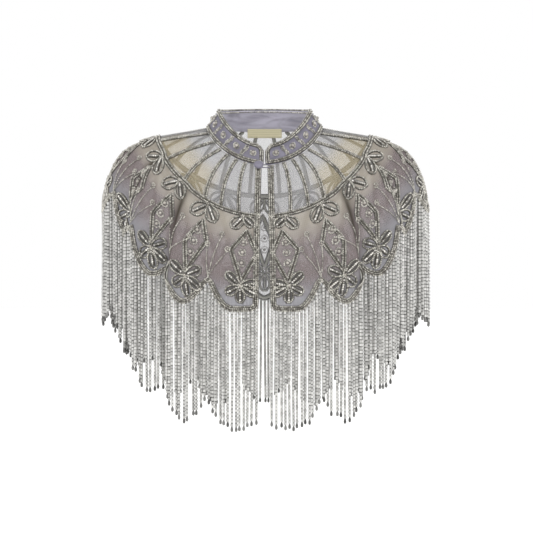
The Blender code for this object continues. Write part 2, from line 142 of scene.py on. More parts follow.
# Where the beadwork lies in the CAD model's layers, out from the cloth's inner face
NET_LIFT = 0.5 * MM
BACKING_LIFT = 1.2 * MM
BEAD_LIFT = 2.1 * MM

# The motifs, in millimetres below the beaded line that ends the yoke and across from a scallop's axis
BAND_LENGTH = 113.0
AXIS_TOP = (0.34, 0.30, 0.30, 0.30, 0.42, 0.5, 0.5, 0.5, 0.5, 0.5)
AXIS_FOOT = (0.36, 0.45, 0.45, 0.45, 0.48, 0.5, 0.5, 0.5, 0.5, 0.5)
FLOWER_DOWN = 83
KITE = ((21, -2), (50, 9), (78, 0), (41, -13))
FIRST_KITE = ((20, -3), (45, 13), (79, -1), (45, -16))
KITE_PEARLS = (34, 46, 58)
PETALS = ((108, 18), (-132, 18), (38, 17), (-16, 19), (-70, 18))
FIRST_PETALS = ((126, 18), (-105, 17), (54, 17), (-3, 17), (-66, 18))
BACK_PETALS = ((116, 18), (-116, 18), (58, 17), (0, 18), (-58, 17))
LEAVES = ((38, 22), (-43, 21))
FIRST_LEAVES = ((34, 20), (-50, 17))
STAMENS = ((5, 31), (-9, 46), (-18, 31))
BACK_STAMENS = ((-14, 33), (0, 46), (14, 33))
NOTCH_DOWN = 78


def of_turn(front, side, back, power, turn):
    """A value with the given amounts at the front, side and back of the garment."""
    end = np.where(turn < math.pi / 2, front, back)
    return side + (end - side) * np.abs(np.cos(turn)) ** power


def ring_points(ring, turn, hand):
    """Points of a ring at turns from the front; hand is -1 on the wearer's right and 1 on the left."""
    depth = np.where(turn < math.pi / 2, ring.front_depth, ring.back_depth)
    height = of_turn(ring.front_z, ring.side_z, ring.back_z, ring.power, turn)
    height = height + ring.corner_z * np.sin(2 * turn) ** 2 * np.abs(np.cos(turn))
    x = hand * ring.half_width * np.sin(turn)
    return np.stack([x, -depth * np.cos(turn), height], axis=-1) * MM


def lengths_along(points):
    """Distances along a line of points, from its first one."""
    steps = np.linalg.norm(np.diff(points, axis=0), axis=-1)
    return np.concatenate([np.zeros((1, *steps.shape[1:])), np.cumsum(steps, axis=0)])


def even_turns():
    """Shares of the way along the hem ring, front to back, and the turn at each."""
    turns = np.linspace(0, math.pi, 361)
    along = lengths_along(ring_points(HEM, turns, 1.0))
    return along / along[-1], turns


SHARES, TURNS = even_turns()


def hand_and_share(u):
    """Which hand places round the garment are on, and their share of the way from front edge to back."""
    half = SCALLOPS / 2
    u = np.asarray(u, dtype=float)
    return np.where(u <= half, -1.0, 1.0), np.where(u <= half, u, SCALLOPS - u) / half


def turn_of(ring, share, evenness):
    """The turn of a share of a ring: evenness 0 spaces turns evenly, and 1 follows the hem's length."""
    start = math.asin(ring.front_gap / ring.half_width)
    turn = (1 - evenness) * share * math.pi + evenness * np.interp(share, SHARES, TURNS)
    return start + (math.pi - start) * turn / math.pi


def smooth(share):
    """A soft step from 0 to 1."""
    share = np.clip(share, 0, 1)
    return share * share * (3 - 2 * share)


def unit(vectors):
    return vectors / np.linalg.norm(vectors, axis=-1, keepdims=True)


def drape(u, hand, turn):
    """How far the folds move the hem at each place u, as vectors."""
    level = np.zeros_like(turn)
    out = [hand * np.sin(turn) / HEM.half_width, -np.cos(turn) / HEM.front_depth, level]
    out = unit(np.stack(out, axis=-1))
    back = [hand * np.cos(turn) * HEM.half_width, np.sin(turn) * HEM.front_depth, level]
    back = unit(np.stack(back, axis=-1))
    move = np.zeros_like(out)
    for fold in (*FOLDS, *CREASES):
        wave = fold.depth * np.exp(-(((u - fold.u) / fold.width) ** 2))
        move += out * wave[:, None]
    for tuck in TUCKS:
        behind = (u - tuck.u) * (1 if tuck.u < SCALLOPS / 2 else -1)
        step = np.tanh(behind / tuck.width) + TUCK_LEAN
        wave = -step * np.exp(-((behind / tuck.reach) ** 2))
        move += (back * tuck.along + out * tuck.inward) * wave[:, None]
    return move * MM


def draped_cloth():
    """Points of the cloth's inner face on an even grid of places round and distances down, the length of
    each line down it, and how far down each of them the yoke ends."""
    u = np.linspace(0, SCALLOPS, SCALLOPS * CELLS_PER_SCALLOP + 1)
    hand, share = hand_and_share(u)
    rings = ((NECK, 0.0), (SLOPE, 0.5), (DROP, 1.0), (HEM, 1.0))
    controls = [ring_points(ring, turn_of(ring, share, even), hand) for ring, even in rings]
    t = np.linspace(0, 1, CURVE_STEPS + 1)[:, None, None]
    weights = ((1 - t) ** 3, 3 * t * (1 - t) ** 2, 3 * t * t * (1 - t), t**3)
    curves = sum(weight * control for weight, control in zip(weights, controls))
    along = lengths_along(curves)
    length = along[-1]
    turn = turn_of(HEM, share, 1.0)
    yoke = of_turn(YOKE_FRONT, YOKE_SIDE, YOKE_BACK, 2.0, turn)
    move = drape(u, hand, turn)
    down = np.arange(DOWN_STEPS + 1) * DOWN_STEP
    grid = np.empty((len(u), len(down), 3))
    for i in range(len(u)):
        for axis in range(3):
            grid[i, :, axis] = np.interp(down, along[:, i], curves[:, i, axis])
        past_end = np.maximum(0, down - length[i])[:, None]
        grid[i] += past_end * unit(curves[-1, i] - curves[-2, i])
        start = FOLD_START * yoke[i]
        grid[i] += smooth((down - start) / (length[i] - start))[:, None] * move[i]
    return u, grid, length, yoke


PLACES, GRID, LENGTHS, YOKE_ENDS = draped_cloth()


def cloth(u, down):
    """The points of the cloth's inner face at u round the garment and this far down from the neck seam."""
    u, down = np.broadcast_arrays(np.asarray(u, dtype=float), np.asarray(down, dtype=float))
    across = np.clip(u * CELLS_PER_SCALLOP, 0, SCALLOPS * CELLS_PER_SCALLOP - 1e-9)
    along = np.clip(down / DOWN_STEP, 0, DOWN_STEPS - 1e-9)
    i, j = across.astype(int), along.astype(int)
    right, low = (across - i)[..., None], (along - j)[..., None]
    top = GRID[i, j] * (1 - right) + GRID[i + 1, j] * right
    foot = GRID[i, j + 1] * (1 - right) + GRID[i + 1, j + 1] * right
    return top * (1 - low) + foot * low


def inside(u):
    return np.clip(u, 0, SCALLOPS)


def pace(u, down):
    """How many metres of cloth one scallop's width spans, across the garment at this place."""
    low, high = inside(np.asarray(u) - 0.03), inside(np.asarray(u) + 0.03)
    return np.linalg.norm(cloth(high, down) - cloth(low, down), axis=-1) / (high - low)


def beside(u, down, metres):
    """The place a few metres of cloth across from u, at the same distance down."""
    return inside(u + metres / pace(u, down))


def outward(u, down):
    """The cloth's outward direction."""
    u, down = np.asarray(u, dtype=float), np.asarray(down, dtype=float)
    across = cloth(inside(u + 0.04), down) - cloth(inside(u - 0.04), down)
    top = np.maximum(0, down - 2 * MM)
    downward = cloth(u, down + 2 * MM) - cloth(u, top)
    return unit(np.cross(across, downward))


def length(u):
    return np.interp(u, PLACES, LENGTHS)


def yoke_end(u):
    return np.interp(u, PLACES, YOKE_ENDS)


def rise(u):
    """How far the hem's edge stands above its lowest level: 0 at a scallop's middle, most at a notch."""
    u = np.asarray(u, dtype=float)
    from_middle = np.where(u >= SCALLOPS, 1.0, np.abs(2 * (u - np.floor(u)) - 1))
    corner = (u < 0.5) | (u > SCALLOPS - 0.5)
    notch = NOTCH_RISE * from_middle**NOTCH_POWER
    return np.where(corner, CORNER_RISE * from_middle**CORNER_POWER, notch)


def hem(u):
    """How far down the cloth's edge is."""
    return length(u) - rise(u)


def all_rays():
    """The rays from the right front, round the back, to the left front."""
    back = [Ray(u, u) for u in np.linspace(FIRST_BACK_RAY, SCALLOPS - FIRST_BACK_RAY, BACK_RAYS)]
    left = [Ray(SCALLOPS - ray.top, SCALLOPS - ray.foot) for ray in reversed(FRONT_RAYS)]
    return [*FRONT_RAYS, *back, *left]


def collar_points(u, share, lift):
    """Points of the collar, share of the way up from its foot, moved out from the lining's side by lift."""
    hand, along = hand_and_share(u)
    turn = turn_of(COLLAR_FOOT, along, 0.0)
    foot = ring_points(COLLAR_FOOT, turn, hand)
    top = ring_points(COLLAR_TOP, turn_of(COLLAR_TOP, along, 0.0), hand)
    tangent = (ring_points(COLLAR_FOOT, turn + 0.01, hand) - foot) * -hand[..., None]
    return foot + (top - foot) * np.asarray(share)[..., None] + unit(np.cross(tangent, foot - top)) * lift


COLLAR_PACE = math.pi * (NECK.half_width + NECK.front_depth) * MM / SCALLOPS
COLLAR_CORNER = 10 * MM
COLLAR_CORNER_DROP = 0.4


def collar_height(u):
    """The share of the collar's height that it has here: less at the round front corners."""
    from_end = np.minimum(u, SCALLOPS - u) * COLLAR_PACE
    return 1 - COLLAR_CORNER_DROP * np.maximum(0.0, 1 - from_end / COLLAR_CORNER) ** 2


# A line that beads follow: its points, the outward direction at each, and whether it closes
Line = namedtuple("Line", "points normals closed")


def on_net(u, down, closed=False):
    return Line(cloth(u, down), outward(u, down), closed)


def sides(line):
    """The direction along a line at each point, and the one across it, in the cloth."""
    if line.closed:
        along = np.roll(line.points, -1, axis=0) - np.roll(line.points, 1, axis=0)
    else:
        along = np.gradient(line.points, axis=0)
    along = unit(along)
    return along, unit(np.cross(along, line.normals))


def row(line, across, lift, lean):
    """One row of beads beside a line: its points, and the direction that each bead points in."""
    along, side = sides(line)
    points = line.points + line.normals * lift + side * across
    return points, along * math.cos(lean) + side * math.sin(lean), line.closed


def pair(line, gap, lift=BEAD_LIFT, lean=0.6):
    """Two rows side by side whose beads slant towards each other, as twisted cord does."""
    return [row(line, gap / 2, lift, lean), row(line, -gap / 2, lift, -lean)]


def scallop_place(number, down, across):
    """A place on the net, in millimetres below the yoke's line and across from a scallop's axis."""
    right = number <= SCALLOPS // 2
    near = number if right else SCALLOPS - 1 - number
    down, across = np.asarray(down, dtype=float), np.asarray(across, dtype=float)
    share = np.clip(down / FLOWER_DOWN, 0, 1)
    axis = near + AXIS_TOP[near] + (AXIS_FOOT[near] - AXIS_TOP[near]) * share
    size = (length(near + 0.5) - yoke_end(near + 0.5)) / BAND_LENGTH
    u = beside(axis, yoke_end(axis) + down * size, across * size)
    return (u if right else SCALLOPS - u), yoke_end(u) + down * size


def traced(number, corners, closed, step=2.5):
    """A line through corners given in a scallop's millimetres."""
    stops = [*corners, corners[0]] if closed else list(corners)
    places = []
    for start, end in zip(stops, stops[1:]):
        count = max(1, round(math.dist(start, end) / step))
        places += [np.array(start) + (np.array(end) - start) * k / count for k in range(count)]
    if not closed:
        places.append(np.array(stops[-1]))
    places = np.array(places)
    return on_net(*scallop_place(number, places[:, 0], places[:, 1]), closed)


def petal(centre, angle, size, half_width, count=18, point=0.0):
    """The outline of a petal that starts at a centre; its angle is from straight down, and a point above 0
    draws its ends out as a leaf's are."""
    turn = np.linspace(0, 2 * math.pi, count, endpoint=False)
    along = size * (0.5 - 0.5 * np.cos(turn))
    across = half_width * np.sin(turn) * np.abs(np.sin(turn)) ** point * (1.05 - 0.25 * np.cos(turn))
    angle = math.radians(angle)
    down = centre[0] + along * math.cos(angle) - across * math.sin(angle)
    aside = centre[1] + along * math.sin(angle) + across * math.cos(angle)
    return list(zip(down, aside))


def toward(centre, angle, distance):
    angle = math.radians(angle)
    return centre[0] + distance * math.cos(angle), centre[1] + distance * math.sin(angle)


def ring(centre, radius, count=9):
    return petal((centre[0] - radius, centre[1]), 0, 2 * radius, radius, count)


# A round bead on its own: its middle, its outward direction and its width
Pearl = namedtuple("Pearl", "point normal width")


def pearl(number, place, width, lift):
    u, down = scallop_place(number, *place)
    normal = outward(u, down)
    return Pearl(cloth(u, down) + normal * lift, normal, width)


def motif_lines(number):
    """The lines of one scallop's motif: its kite, the outlines of leaves and petals, the rings with one
    row, and the short filling rows, with its pearls."""
    near = min(number, SCALLOPS - 1 - number)
    kite = FIRST_KITE if near == 0 else KITE
    leaves = FIRST_LEAVES if near == 0 else LEAVES
    double = [traced(number, kite, True)]
    single = []
    outline = []
    filling = []
    pearls = [pearl(number, (down, 0), 4.0 * MM, 2.6 * MM) for down in KITE_PEARLS]
    single += [traced(number, ring((down, 0), 3.6), True) for down in KITE_PEARLS]
    for angle, size in leaves:
        start = (3, 3 if near == 0 else 0)
        outline.append(traced(number, petal(start, angle, size, size * 0.29, point=0.5), True))
        middle = [toward(start, angle, 3.5), toward(start, angle, size - 3.5)]
        filling.append(traced(number, middle, False))
    centre = (FLOWER_DOWN, 0)
    petals = FIRST_PETALS if near == 0 else PETALS if near < FRONT_SCALLOPS else BACK_PETALS
    for angle, size in petals:
        start = toward(centre, angle, 1.5)
        outline.append(traced(number, petal(start, angle, size, size * 0.27), True))
        middle = [toward(start, angle, 3.5), toward(start, angle, size - 2.5)]
        filling.append(traced(number, middle, False))
    pearls.append(pearl(number, centre, 3.4 * MM, 2.6 * MM))
    return double, outline, single, filling, pearls


def stamen_lines(notch):
    """The three beaded stamens that fan up from a notch, with a small ring at each end."""
    right = notch <= SCALLOPS // 2
    near = notch if right else SCALLOPS - notch
    size = (length(near) - yoke_end(near)) / BAND_LENGTH
    lines = []
    pearls = []
    for across, up in STAMENS if near < FRONT_SCALLOPS else BACK_STAMENS:
        places = []
        for share in np.linspace(0, 1, 14):
            down = yoke_end(near) + (NOTCH_DOWN - up * share) * size
            bow = across * share + 1.2 * math.sin(share * math.pi)
            places.append((float(beside(near, down, bow * size)), down))
        u, down = np.array(places).T
        lines.append(on_net(u if right else SCALLOPS - u, down))
        turn = np.linspace(0, 2 * math.pi, 8, endpoint=False)
        around = beside(u[-1], down[-1], 3 * MM * np.cos(turn))
        rim = down[-1] - 3 * MM + 3 * MM * np.sin(turn)
        around = around if right else SCALLOPS - around
        lines.append(on_net(around, rim, True))
        middle = u[-1] if right else SCALLOPS - u[-1]
        normal = outward(middle, down[-1] - 3 * MM)
        pearls.append(Pearl(cloth(middle, down[-1] - 3 * MM) + normal * 2.2 * MM, normal, 2.6 * MM))
    return lines, pearls


def edge_line(first, last):
    """The line just inside a panel's edge: down an open front, along the hem, and up the other front."""
    u = np.linspace(first, last, (last - first) * 36 + 1)
    down = hem(u)
    if first == 0:
        front = np.linspace(3 * MM, down[0] - 2 * MM, 60)
        u, down = np.concatenate([np.zeros(60), u]), np.concatenate([front, down])
    if last == SCALLOPS:
        front = np.linspace(down[-1] - 2 * MM, 3 * MM, 60)
        u, down = np.concatenate([u, np.full(60, float(SCALLOPS))]), np.concatenate([down, front])
    return on_net(u, down)


def yoke_lines(first, last):
    """The line that ends the yoke on one panel, and the rays that run up from it to the collar."""
    u = np.linspace(first, last, (last - first) * 24 + 1)
    end = on_net(u, yoke_end(u))
    rays = []
    for ray in all_rays():
        if first < ray.foot < last:
            share = np.linspace(0.03, 0.97, 30)
            line = yoke_end(ray.foot)
            place = ray.foot + (ray.top - ray.foot) * (1 - share)
            rays.append(on_net(place, share * line))
    return end, rays


def collar_line(u, share):
    points = collar_points(u, share, 1.4 * MM)
    normals = unit(collar_points(u, share, 2.4 * MM) - points)
    return points, normals


def collar_loop(inset):
    """A closed line round the collar, inset from its edges by some millimetres."""
    end = inset * MM / COLLAR_PACE
    u = np.linspace(end, SCALLOPS - end, 220)
    height = 29.0
    low = np.full_like(u, 0.04 + inset / height)
    high = collar_height(u) * 1.04 - inset / height
    side = np.linspace(0, 1, 9)[1:-1]
    left_side = low[-1] + (high[-1] - low[-1]) * side
    right_side = high[0] + (low[0] - high[0]) * side
    round_u = np.concatenate([u, np.full(7, u[-1]), u[::-1], np.full(7, u[0])])
    share = np.concatenate([low, left_side, high[::-1], right_side])
    points, normals = collar_line(round_u, share)
    return Line(points, normals, True)


def new_object(name, mesh, material=None):
    made = bpy.data.objects.new(name, mesh)
    if material:
        mesh.materials.append(material)
    bpy.context.scene.collection.objects.link(made)
    return made


def placed(made, slot, *replaced):
    """Fixes a finished piece to the body and hides the CAD nodes it stands for. slot, the finish it takes, is not
    used.
    """
    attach(made, BODY)
    if replaced:
        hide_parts(*replaced)
    return made


def shell(name, points, normals, low, high, material, layers=()):
    """A closed thin wall over a grid of points, between two lifts. layers are (name, values) for points."""
    rows, columns = points.shape[:2]
    count = rows * columns
    verts = np.concatenate([points + normals * high, points + normals * low]).reshape(-1, 3)
    index = np.arange(count).reshape(rows, columns)
    quads = np.stack([index[:-1, :-1], index[1:, :-1], index[1:, 1:], index[:-1, 1:]], axis=-1).reshape(-1, 4)
    inner = quads[:, ::-1] + count
    border = [*index[0], *index[1:, -1], *index[-1, -2::-1], *index[-2:0:-1, 0]]
    rim = [(a, b, b + count, a + count) for a, b in zip(border, [*border[1:], border[0]])]
    mesh = bpy.data.meshes.new(name)
    mesh.from_pydata(verts.tolist(), [], [*quads.tolist(), *inner.tolist(), *map(list, np.array(rim))])
    mesh.shade_smooth()
    for layer, values in layers:
        both = np.concatenate([values.reshape(-1), values.reshape(-1)])
        mesh.attributes.new(layer, "FLOAT", "POINT").data.foreach_set("value", both.astype(np.float32))
    mesh.update()
    return new_object(name, mesh, material)


def cloth_map(made, across, along):
    """A UV map of a shell in metres of cloth, so a weave follows the surface."""
    flat = np.stack([across.reshape(-1), along.reshape(-1)], axis=-1)
    flat = np.concatenate([flat, flat])
    mesh = made.data
    corners = np.empty(len(mesh.loops), dtype=np.int32)
    mesh.loops.foreach_get("vertex_index", corners)
    layer = mesh.uv_layers.new(name="cloth")
    layer.data.foreach_set("uv", flat[corners].astype(np.float32).reshape(-1))


def strips(name, lines, material, lift=BACKING_LIFT, segment=5 * MM):
    """Low ridged strips of couched thread along lines; with the dark couching material they also carry painted shade
    round the beads. lines are (line, half width, across).
    """
    verts, faces = [], []
    for line, half, across in lines:
        along, side = sides(line)
        points = line.points + side * across + line.normals * lift
        total = lengths_along(points)[-1]
        count = max(3, round(total / segment))
        share = lengths_along(points) / total
        picked = np.interp(np.linspace(0, 1, count, endpoint=not line.closed), share, np.arange(len(points)))
        picked = np.unique(picked.round().astype(int))
        start = len(verts)
        for k in picked:
            at, out, aside = points[k], line.normals[k], side[k]
            verts += [at - aside * half, at + out * 0.5 * MM, at + aside * half, at - out * 0.3 * MM]
        last = len(picked) if line.closed else len(picked) - 1
        for k in range(last):
            here, after = start + 4 * k, start + 4 * ((k + 1) % len(picked))
            for a in range(4):
                b = (a + 1) % 4
                faces.append((here + a, here + b, after + b, after + a))
        if not line.closed:
            end = start + 4 * (len(picked) - 1)
            faces += [(start + 3, start + 2, start + 1, start), (end, end + 1, end + 2, end + 3)]
    mesh = bpy.data.meshes.new(name)
    mesh.from_pydata(verts, [], faces)
    mesh.shade_smooth()
    return new_object(name, mesh, material)


def path_mesh(name, rows):
    """Rows as loose edges, with the direction of their beads as an attribute."""
    verts, edges, leans = [], [], []
    for points, along, closed in rows:
        start = len(verts)
        verts += list(points)
        leans += list(along)
        edges += [(start + k, start + k + 1) for k in range(len(points) - 1)]
        if closed:
            edges.append((start + len(points) - 1, start))
    mesh = bpy.data.meshes.new(name)
    mesh.from_pydata(verts, edges, [])
    layer = mesh.attributes.new("lean", "FLOAT_VECTOR", "POINT")
    layer.data.foreach_set("vector", np.array(leans, dtype=np.float32).reshape(-1))
    return mesh


def point_mesh(name, points, directions, widths):
    """Loose points, with a direction and a width at each."""
    mesh = bpy.data.meshes.new(name)
    mesh.from_pydata([tuple(point) for point in points], [], [])
    layer = mesh.attributes.new("lean", "FLOAT_VECTOR", "POINT")
    layer.data.foreach_set("vector", np.array(directions, dtype=np.float32).reshape(-1))
    layer = mesh.attributes.new("width", "FLOAT", "POINT")
    layer.data.foreach_set("value", np.array(widths, dtype=np.float32))
    return mesh


def add(tree, kind, inputs=None, stops=None, **settings):
    """Adds a node with its settings; its inputs are set to values or linked to other nodes' outputs."""
    node = tree.nodes.new(kind)
    for name, value in settings.items():
        setattr(node, name, value)
    for key, value in (inputs or {}).items():
        socket = next(s for s in node.inputs if key in (s.identifier, s.name))
        if isinstance(value, bpy.types.NodeSocket):
            tree.links.new(value, socket)
        else:
            socket.default_value = value
    for k, (position, colour) in enumerate(stops or ()):
        points = node.color_ramp.elements
        point = points[k] if k < 2 else points.new(position)
        point.position = position
        point.color = colour
    return node


def new_tree(name, sockets):
    """An empty Geometry Nodes tree with a geometry in and out, and its input node."""
    tree = bpy.data.node_groups.new(name, "GeometryNodeTree")
    tree.is_modifier = True
    tree.interface.new_socket("Geometry", in_out="INPUT", socket_type="NodeSocketGeometry")
    for label, kind in sockets:
        tree.interface.new_socket(label, in_out="INPUT", socket_type=kind)
    tree.interface.new_socket("Geometry", in_out="OUTPUT", socket_type="NodeSocketGeometry")
    return tree, add(tree, "NodeGroupInput").outputs


def finish_tree(tree, instances, material, smooth=True):
    """Ends a tree: the instances made real, shaded and given their material."""
    real = add(tree, "GeometryNodeRealizeInstances", {"Geometry": instances})
    shaded = add(
        tree, "GeometryNodeSetShadeSmooth", {"Geometry": real.outputs[0], "Shade Smooth": smooth}
    )
    ended = add(tree, "GeometryNodeSetMaterial", {"Geometry": shaded.outputs[0], "Material": material})
    add(tree, "NodeGroupOutput", {"Geometry": ended.outputs[0]})


def toned(tree, instances, low, high, seed):
    """Gives each instance a random tone between two values, which its material reads."""
    tone = add(
        tree, "FunctionNodeRandomValue", {"Min_001": low, "Max_001": high, "Seed": seed}, data_type="FLOAT"
    )
    return add(
        tree,
        "GeometryNodeStoreNamedAttribute",
        {"Geometry": instances, "Name": "tone", "Value": tone.outputs["Value"]},
        data_type="FLOAT",
        domain="INSTANCE",
    ).outputs[0]


def leaning(tree):
    """The rotation that points a bead along the lean attribute."""
    lean = add(tree, "GeometryNodeInputNamedAttribute", {"Name": "lean"}, data_type="FLOAT_VECTOR")
    turn = add(tree, "FunctionNodeAlignRotationToVector", {"Vector": lean.outputs["Attribute"]}, axis="Z")
    return turn.outputs[0]


def bead_row_tree():
    """Beads threaded along loose edges at an even spacing."""
    sockets = (
        ("Spacing", "NodeSocketFloat"),
        ("Bead Width", "NodeSocketFloat"),
        ("Bead Length", "NodeSocketFloat"),
        ("Seed", "NodeSocketInt"),
        ("Material", "NodeSocketMaterial"),
    )
    tree, given = new_tree("bead_rows", sockets)
    curve = add(tree, "GeometryNodeMeshToCurve", {"Mesh": given["Geometry"]})
    spaced = add(
        tree,
        "GeometryNodeResampleCurve",
        {"Curve": curve.outputs[0], "Length": given["Spacing"]},
        mode="LENGTH",
    )
    bead = add(tree, "GeometryNodeMeshUVSphere", {"Segments": 5, "Rings": 4, "Radius": 0.5})
    size = add(
        tree,
        "ShaderNodeCombineXYZ",
        {"X": given["Bead Width"], "Y": given["Bead Width"], "Z": given["Bead Length"]},
    )
    vary = add(
        tree,
        "FunctionNodeRandomValue",
        {"Min_001": 0.88, "Max_001": 1.12, "Seed": given["Seed"]},
        data_type="FLOAT",
    )
    scale = add(
        tree,
        "ShaderNodeVectorMath",
        {"Vector": size.outputs[0], "Scale": vary.outputs["Value"]},
        operation="SCALE",
    )
    beads = add(
        tree,
        "GeometryNodeInstanceOnPoints",
        {
            "Points": spaced.outputs[0],
            "Instance": bead.outputs["Mesh"],
            "Rotation": leaning(tree),
            "Scale": scale.outputs[0],
        },
    )
    finish_tree(tree, toned(tree, beads.outputs[0], 0.0, 1.0, given["Seed"]), given["Material"])
    return tree


def pearl_tree():
    """Round pearls on loose points, as wide as the width attribute says."""
    sockets = (("Seed", "NodeSocketInt"), ("Material", "NodeSocketMaterial"))
    tree, given = new_tree("pearls", sockets)
    ball = add(tree, "GeometryNodeMeshUVSphere", {"Segments": 12, "Rings": 8, "Radius": 0.5})
    width = add(tree, "GeometryNodeInputNamedAttribute", {"Name": "width"}, data_type="FLOAT")
    pearls = add(
        tree,
        "GeometryNodeInstanceOnPoints",
        {
            "Points": given["Geometry"],
            "Instance": ball.outputs["Mesh"],
            "Rotation": leaning(tree),
            "Scale": width.outputs["Attribute"],
        },
    )
    finish_tree(tree, toned(tree, pearls.outputs[0], 0.0, 1.0, given["Seed"]), given["Material"])
    return tree


def strand_tree():
    """Fringe strands: twisted bugle beads and small seed beads by turns down each loose edge line."""
    sockets = (
        ("Beads", "NodeSocketInt"),
        ("Bugle Width", "NodeSocketFloat"),
        ("Bugle Length", "NodeSocketFloat"),
        ("Seed Bead Width", "NodeSocketFloat"),
        ("Seed", "NodeSocketInt"),
        ("Material", "NodeSocketMaterial"),
    )
    tree, given = new_tree("fringe_strands", sockets)
    curve = add(tree, "GeometryNodeMeshToCurve", {"Mesh": given["Geometry"]})
    spaced = add(
        tree,
        "GeometryNodeResampleCurve",
        {"Curve": curve.outputs[0], "Count": given["Beads"]},
        mode="COUNT",
    )
    index = add(tree, "GeometryNodeInputIndex")
    odd = add(tree, "ShaderNodeMath", {"Value": index.outputs[0], "Value_001": 2.0}, operation="MODULO")
    even = add(tree, "ShaderNodeMath", {"Value": 1.0, "Value_001": odd.outputs[0]}, operation="SUBTRACT")
    tube = add(
        tree, "GeometryNodeMeshCylinder", {"Vertices": 5, "Side Segments": 1, "Radius": 0.5, "Depth": 1.0}
    )
    place = add(tree, "GeometryNodeInputPosition")
    height = add(tree, "ShaderNodeSeparateXYZ", {"Vector": place.outputs[0]})
    angle = add(tree, "ShaderNodeMath", {"Value": height.outputs["Z"], "Value_001": 1.3}, operation="MULTIPLY")
    twist = add(
        tree,
        "ShaderNodeVectorRotate",
        {"Vector": place.outputs[0], "Angle": angle.outputs[0]},
        rotation_type="Z_AXIS",
    )
    bugle = add(
        tree,
        "GeometryNodeSetPosition",
        {"Geometry": tube.outputs["Mesh"], "Position": twist.outputs[0]},
    )
    ball = add(tree, "GeometryNodeMeshUVSphere", {"Segments": 5, "Rings": 3, "Radius": 0.5})
    turn = leaning(tree)
    bugle_size = add(
        tree,
        "ShaderNodeCombineXYZ",
        {"X": given["Bugle Width"], "Y": given["Bugle Width"], "Z": given["Bugle Length"]},
    )
    bugles = add(
        tree,
        "GeometryNodeInstanceOnPoints",
        {
            "Points": spaced.outputs[0],
            "Selection": odd.outputs[0],
            "Instance": bugle.outputs[0],
            "Rotation": turn,
            "Scale": bugle_size.outputs[0],
        },
    )
    seeds = add(
        tree,
        "GeometryNodeInstanceOnPoints",
        {
            "Points": spaced.outputs[0],
            "Selection": even.outputs[0],
            "Instance": ball.outputs["Mesh"],
            "Rotation": turn,
            "Scale": given["Seed Bead Width"],
        },
    )
    light = toned(tree, bugles.outputs[0], 0.5, 1.0, given["Seed"])
    dark = toned(tree, seeds.outputs[0], 0.0, 0.35, given["Seed"])
    both = add(tree, "GeometryNodeJoinGeometry", {"Geometry": light})
    tree.links.new(dark, both.inputs[0])
    finish_tree(tree, both.outputs[0], given["Material"], smooth=False)
    return tree


def drop_tree():
    """Teardrop beads that hang from loose points."""
    sockets = (
        ("Drop Width", "NodeSocketFloat"),
        ("Drop Length", "NodeSocketFloat"),
        ("Seed", "NodeSocketInt"),
        ("Material", "NodeSocketMaterial"),
    )
    tree, given = new_tree("fringe_drops", sockets)
    ball = add(tree, "GeometryNodeMeshUVSphere", {"Segments": 6, "Rings": 5, "Radius": 0.5})
    place = add(tree, "GeometryNodeInputPosition")
    parts = add(tree, "ShaderNodeSeparateXYZ", {"Vector": place.outputs[0]})
    swell = add(
        tree,
        "ShaderNodeMath",
        {"Value": parts.outputs["Z"], "Value_001": -0.8, "Value_002": 0.8},
        operation="MULTIPLY_ADD",
    )
    x = add(tree, "ShaderNodeMath", {"Value": parts.outputs["X"], "Value_001": swell.outputs[0]}, operation="MULTIPLY")
    y = add(tree, "ShaderNodeMath", {"Value": parts.outputs["Y"], "Value_001": swell.outputs[0]}, operation="MULTIPLY")
    shaped = add(
        tree, "ShaderNodeCombineXYZ", {"X": x.outputs[0], "Y": y.outputs[0], "Z": parts.outputs["Z"]}
    )
    drop = add(
        tree, "GeometryNodeSetPosition", {"Geometry": ball.outputs["Mesh"], "Position": shaped.outputs[0]}
    )
    size = add(
        tree,
        "ShaderNodeCombineXYZ",
        {"X": given["Drop Width"], "Y": given["Drop Width"], "Z": given["Drop Length"]},
    )
    drops = add(
        tree,
        "GeometryNodeInstanceOnPoints",
        {"Points": given["Geometry"], "Instance": drop.outputs[0], "Scale": size.outputs[0]},
    )
    finish_tree(tree, toned(tree, drops.outputs[0], 0.0, 0.25, given["Seed"]), given["Material"])
    return tree


def grown(name, mesh, tree, values):
    """The plain mesh that a tree makes of a mesh, as a new object."""
    made = new_object(name, mesh)
    modifier = made.modifiers.new(tree.name, "NODES")
    modifier.node_group = tree
    for item in tree.interface.items_tree:
        if item.item_type == "SOCKET" and item.in_out == "INPUT" and item.name in values:
            modifier[item.identifier] = values[item.name]
    bpy.context.view_layer.update()
    depsgraph = bpy.context.evaluated_depsgraph_get()
    result = bpy.data.meshes.new_from_object(
        made.evaluated_get(depsgraph), preserve_all_data_layers=True, depsgraph=depsgraph
    )
    if not result.polygons:
        raise RuntimeError("the tree " + tree.name + " made nothing for " + name)
    made.modifiers.remove(modifier)
    made.data = result
    result.name = name
    return made


def linear(code):
    """A linear colour from an sRGB hex code."""
    values = [int(code[k : k + 2], 16) / 255 for k in (1, 3, 5)]
    return (*(v / 12.92 if v <= 0.04045 else ((v + 0.055) / 1.055) ** 2.4 for v in values), 1.0)


def new_material(name):
    """An empty material with its shader, its tree and the shader's inputs."""
    made = bpy.data.materials.new(name)
    made.use_nodes = True
    return made, made.node_tree, made.node_tree.nodes["Principled BSDF"].inputs


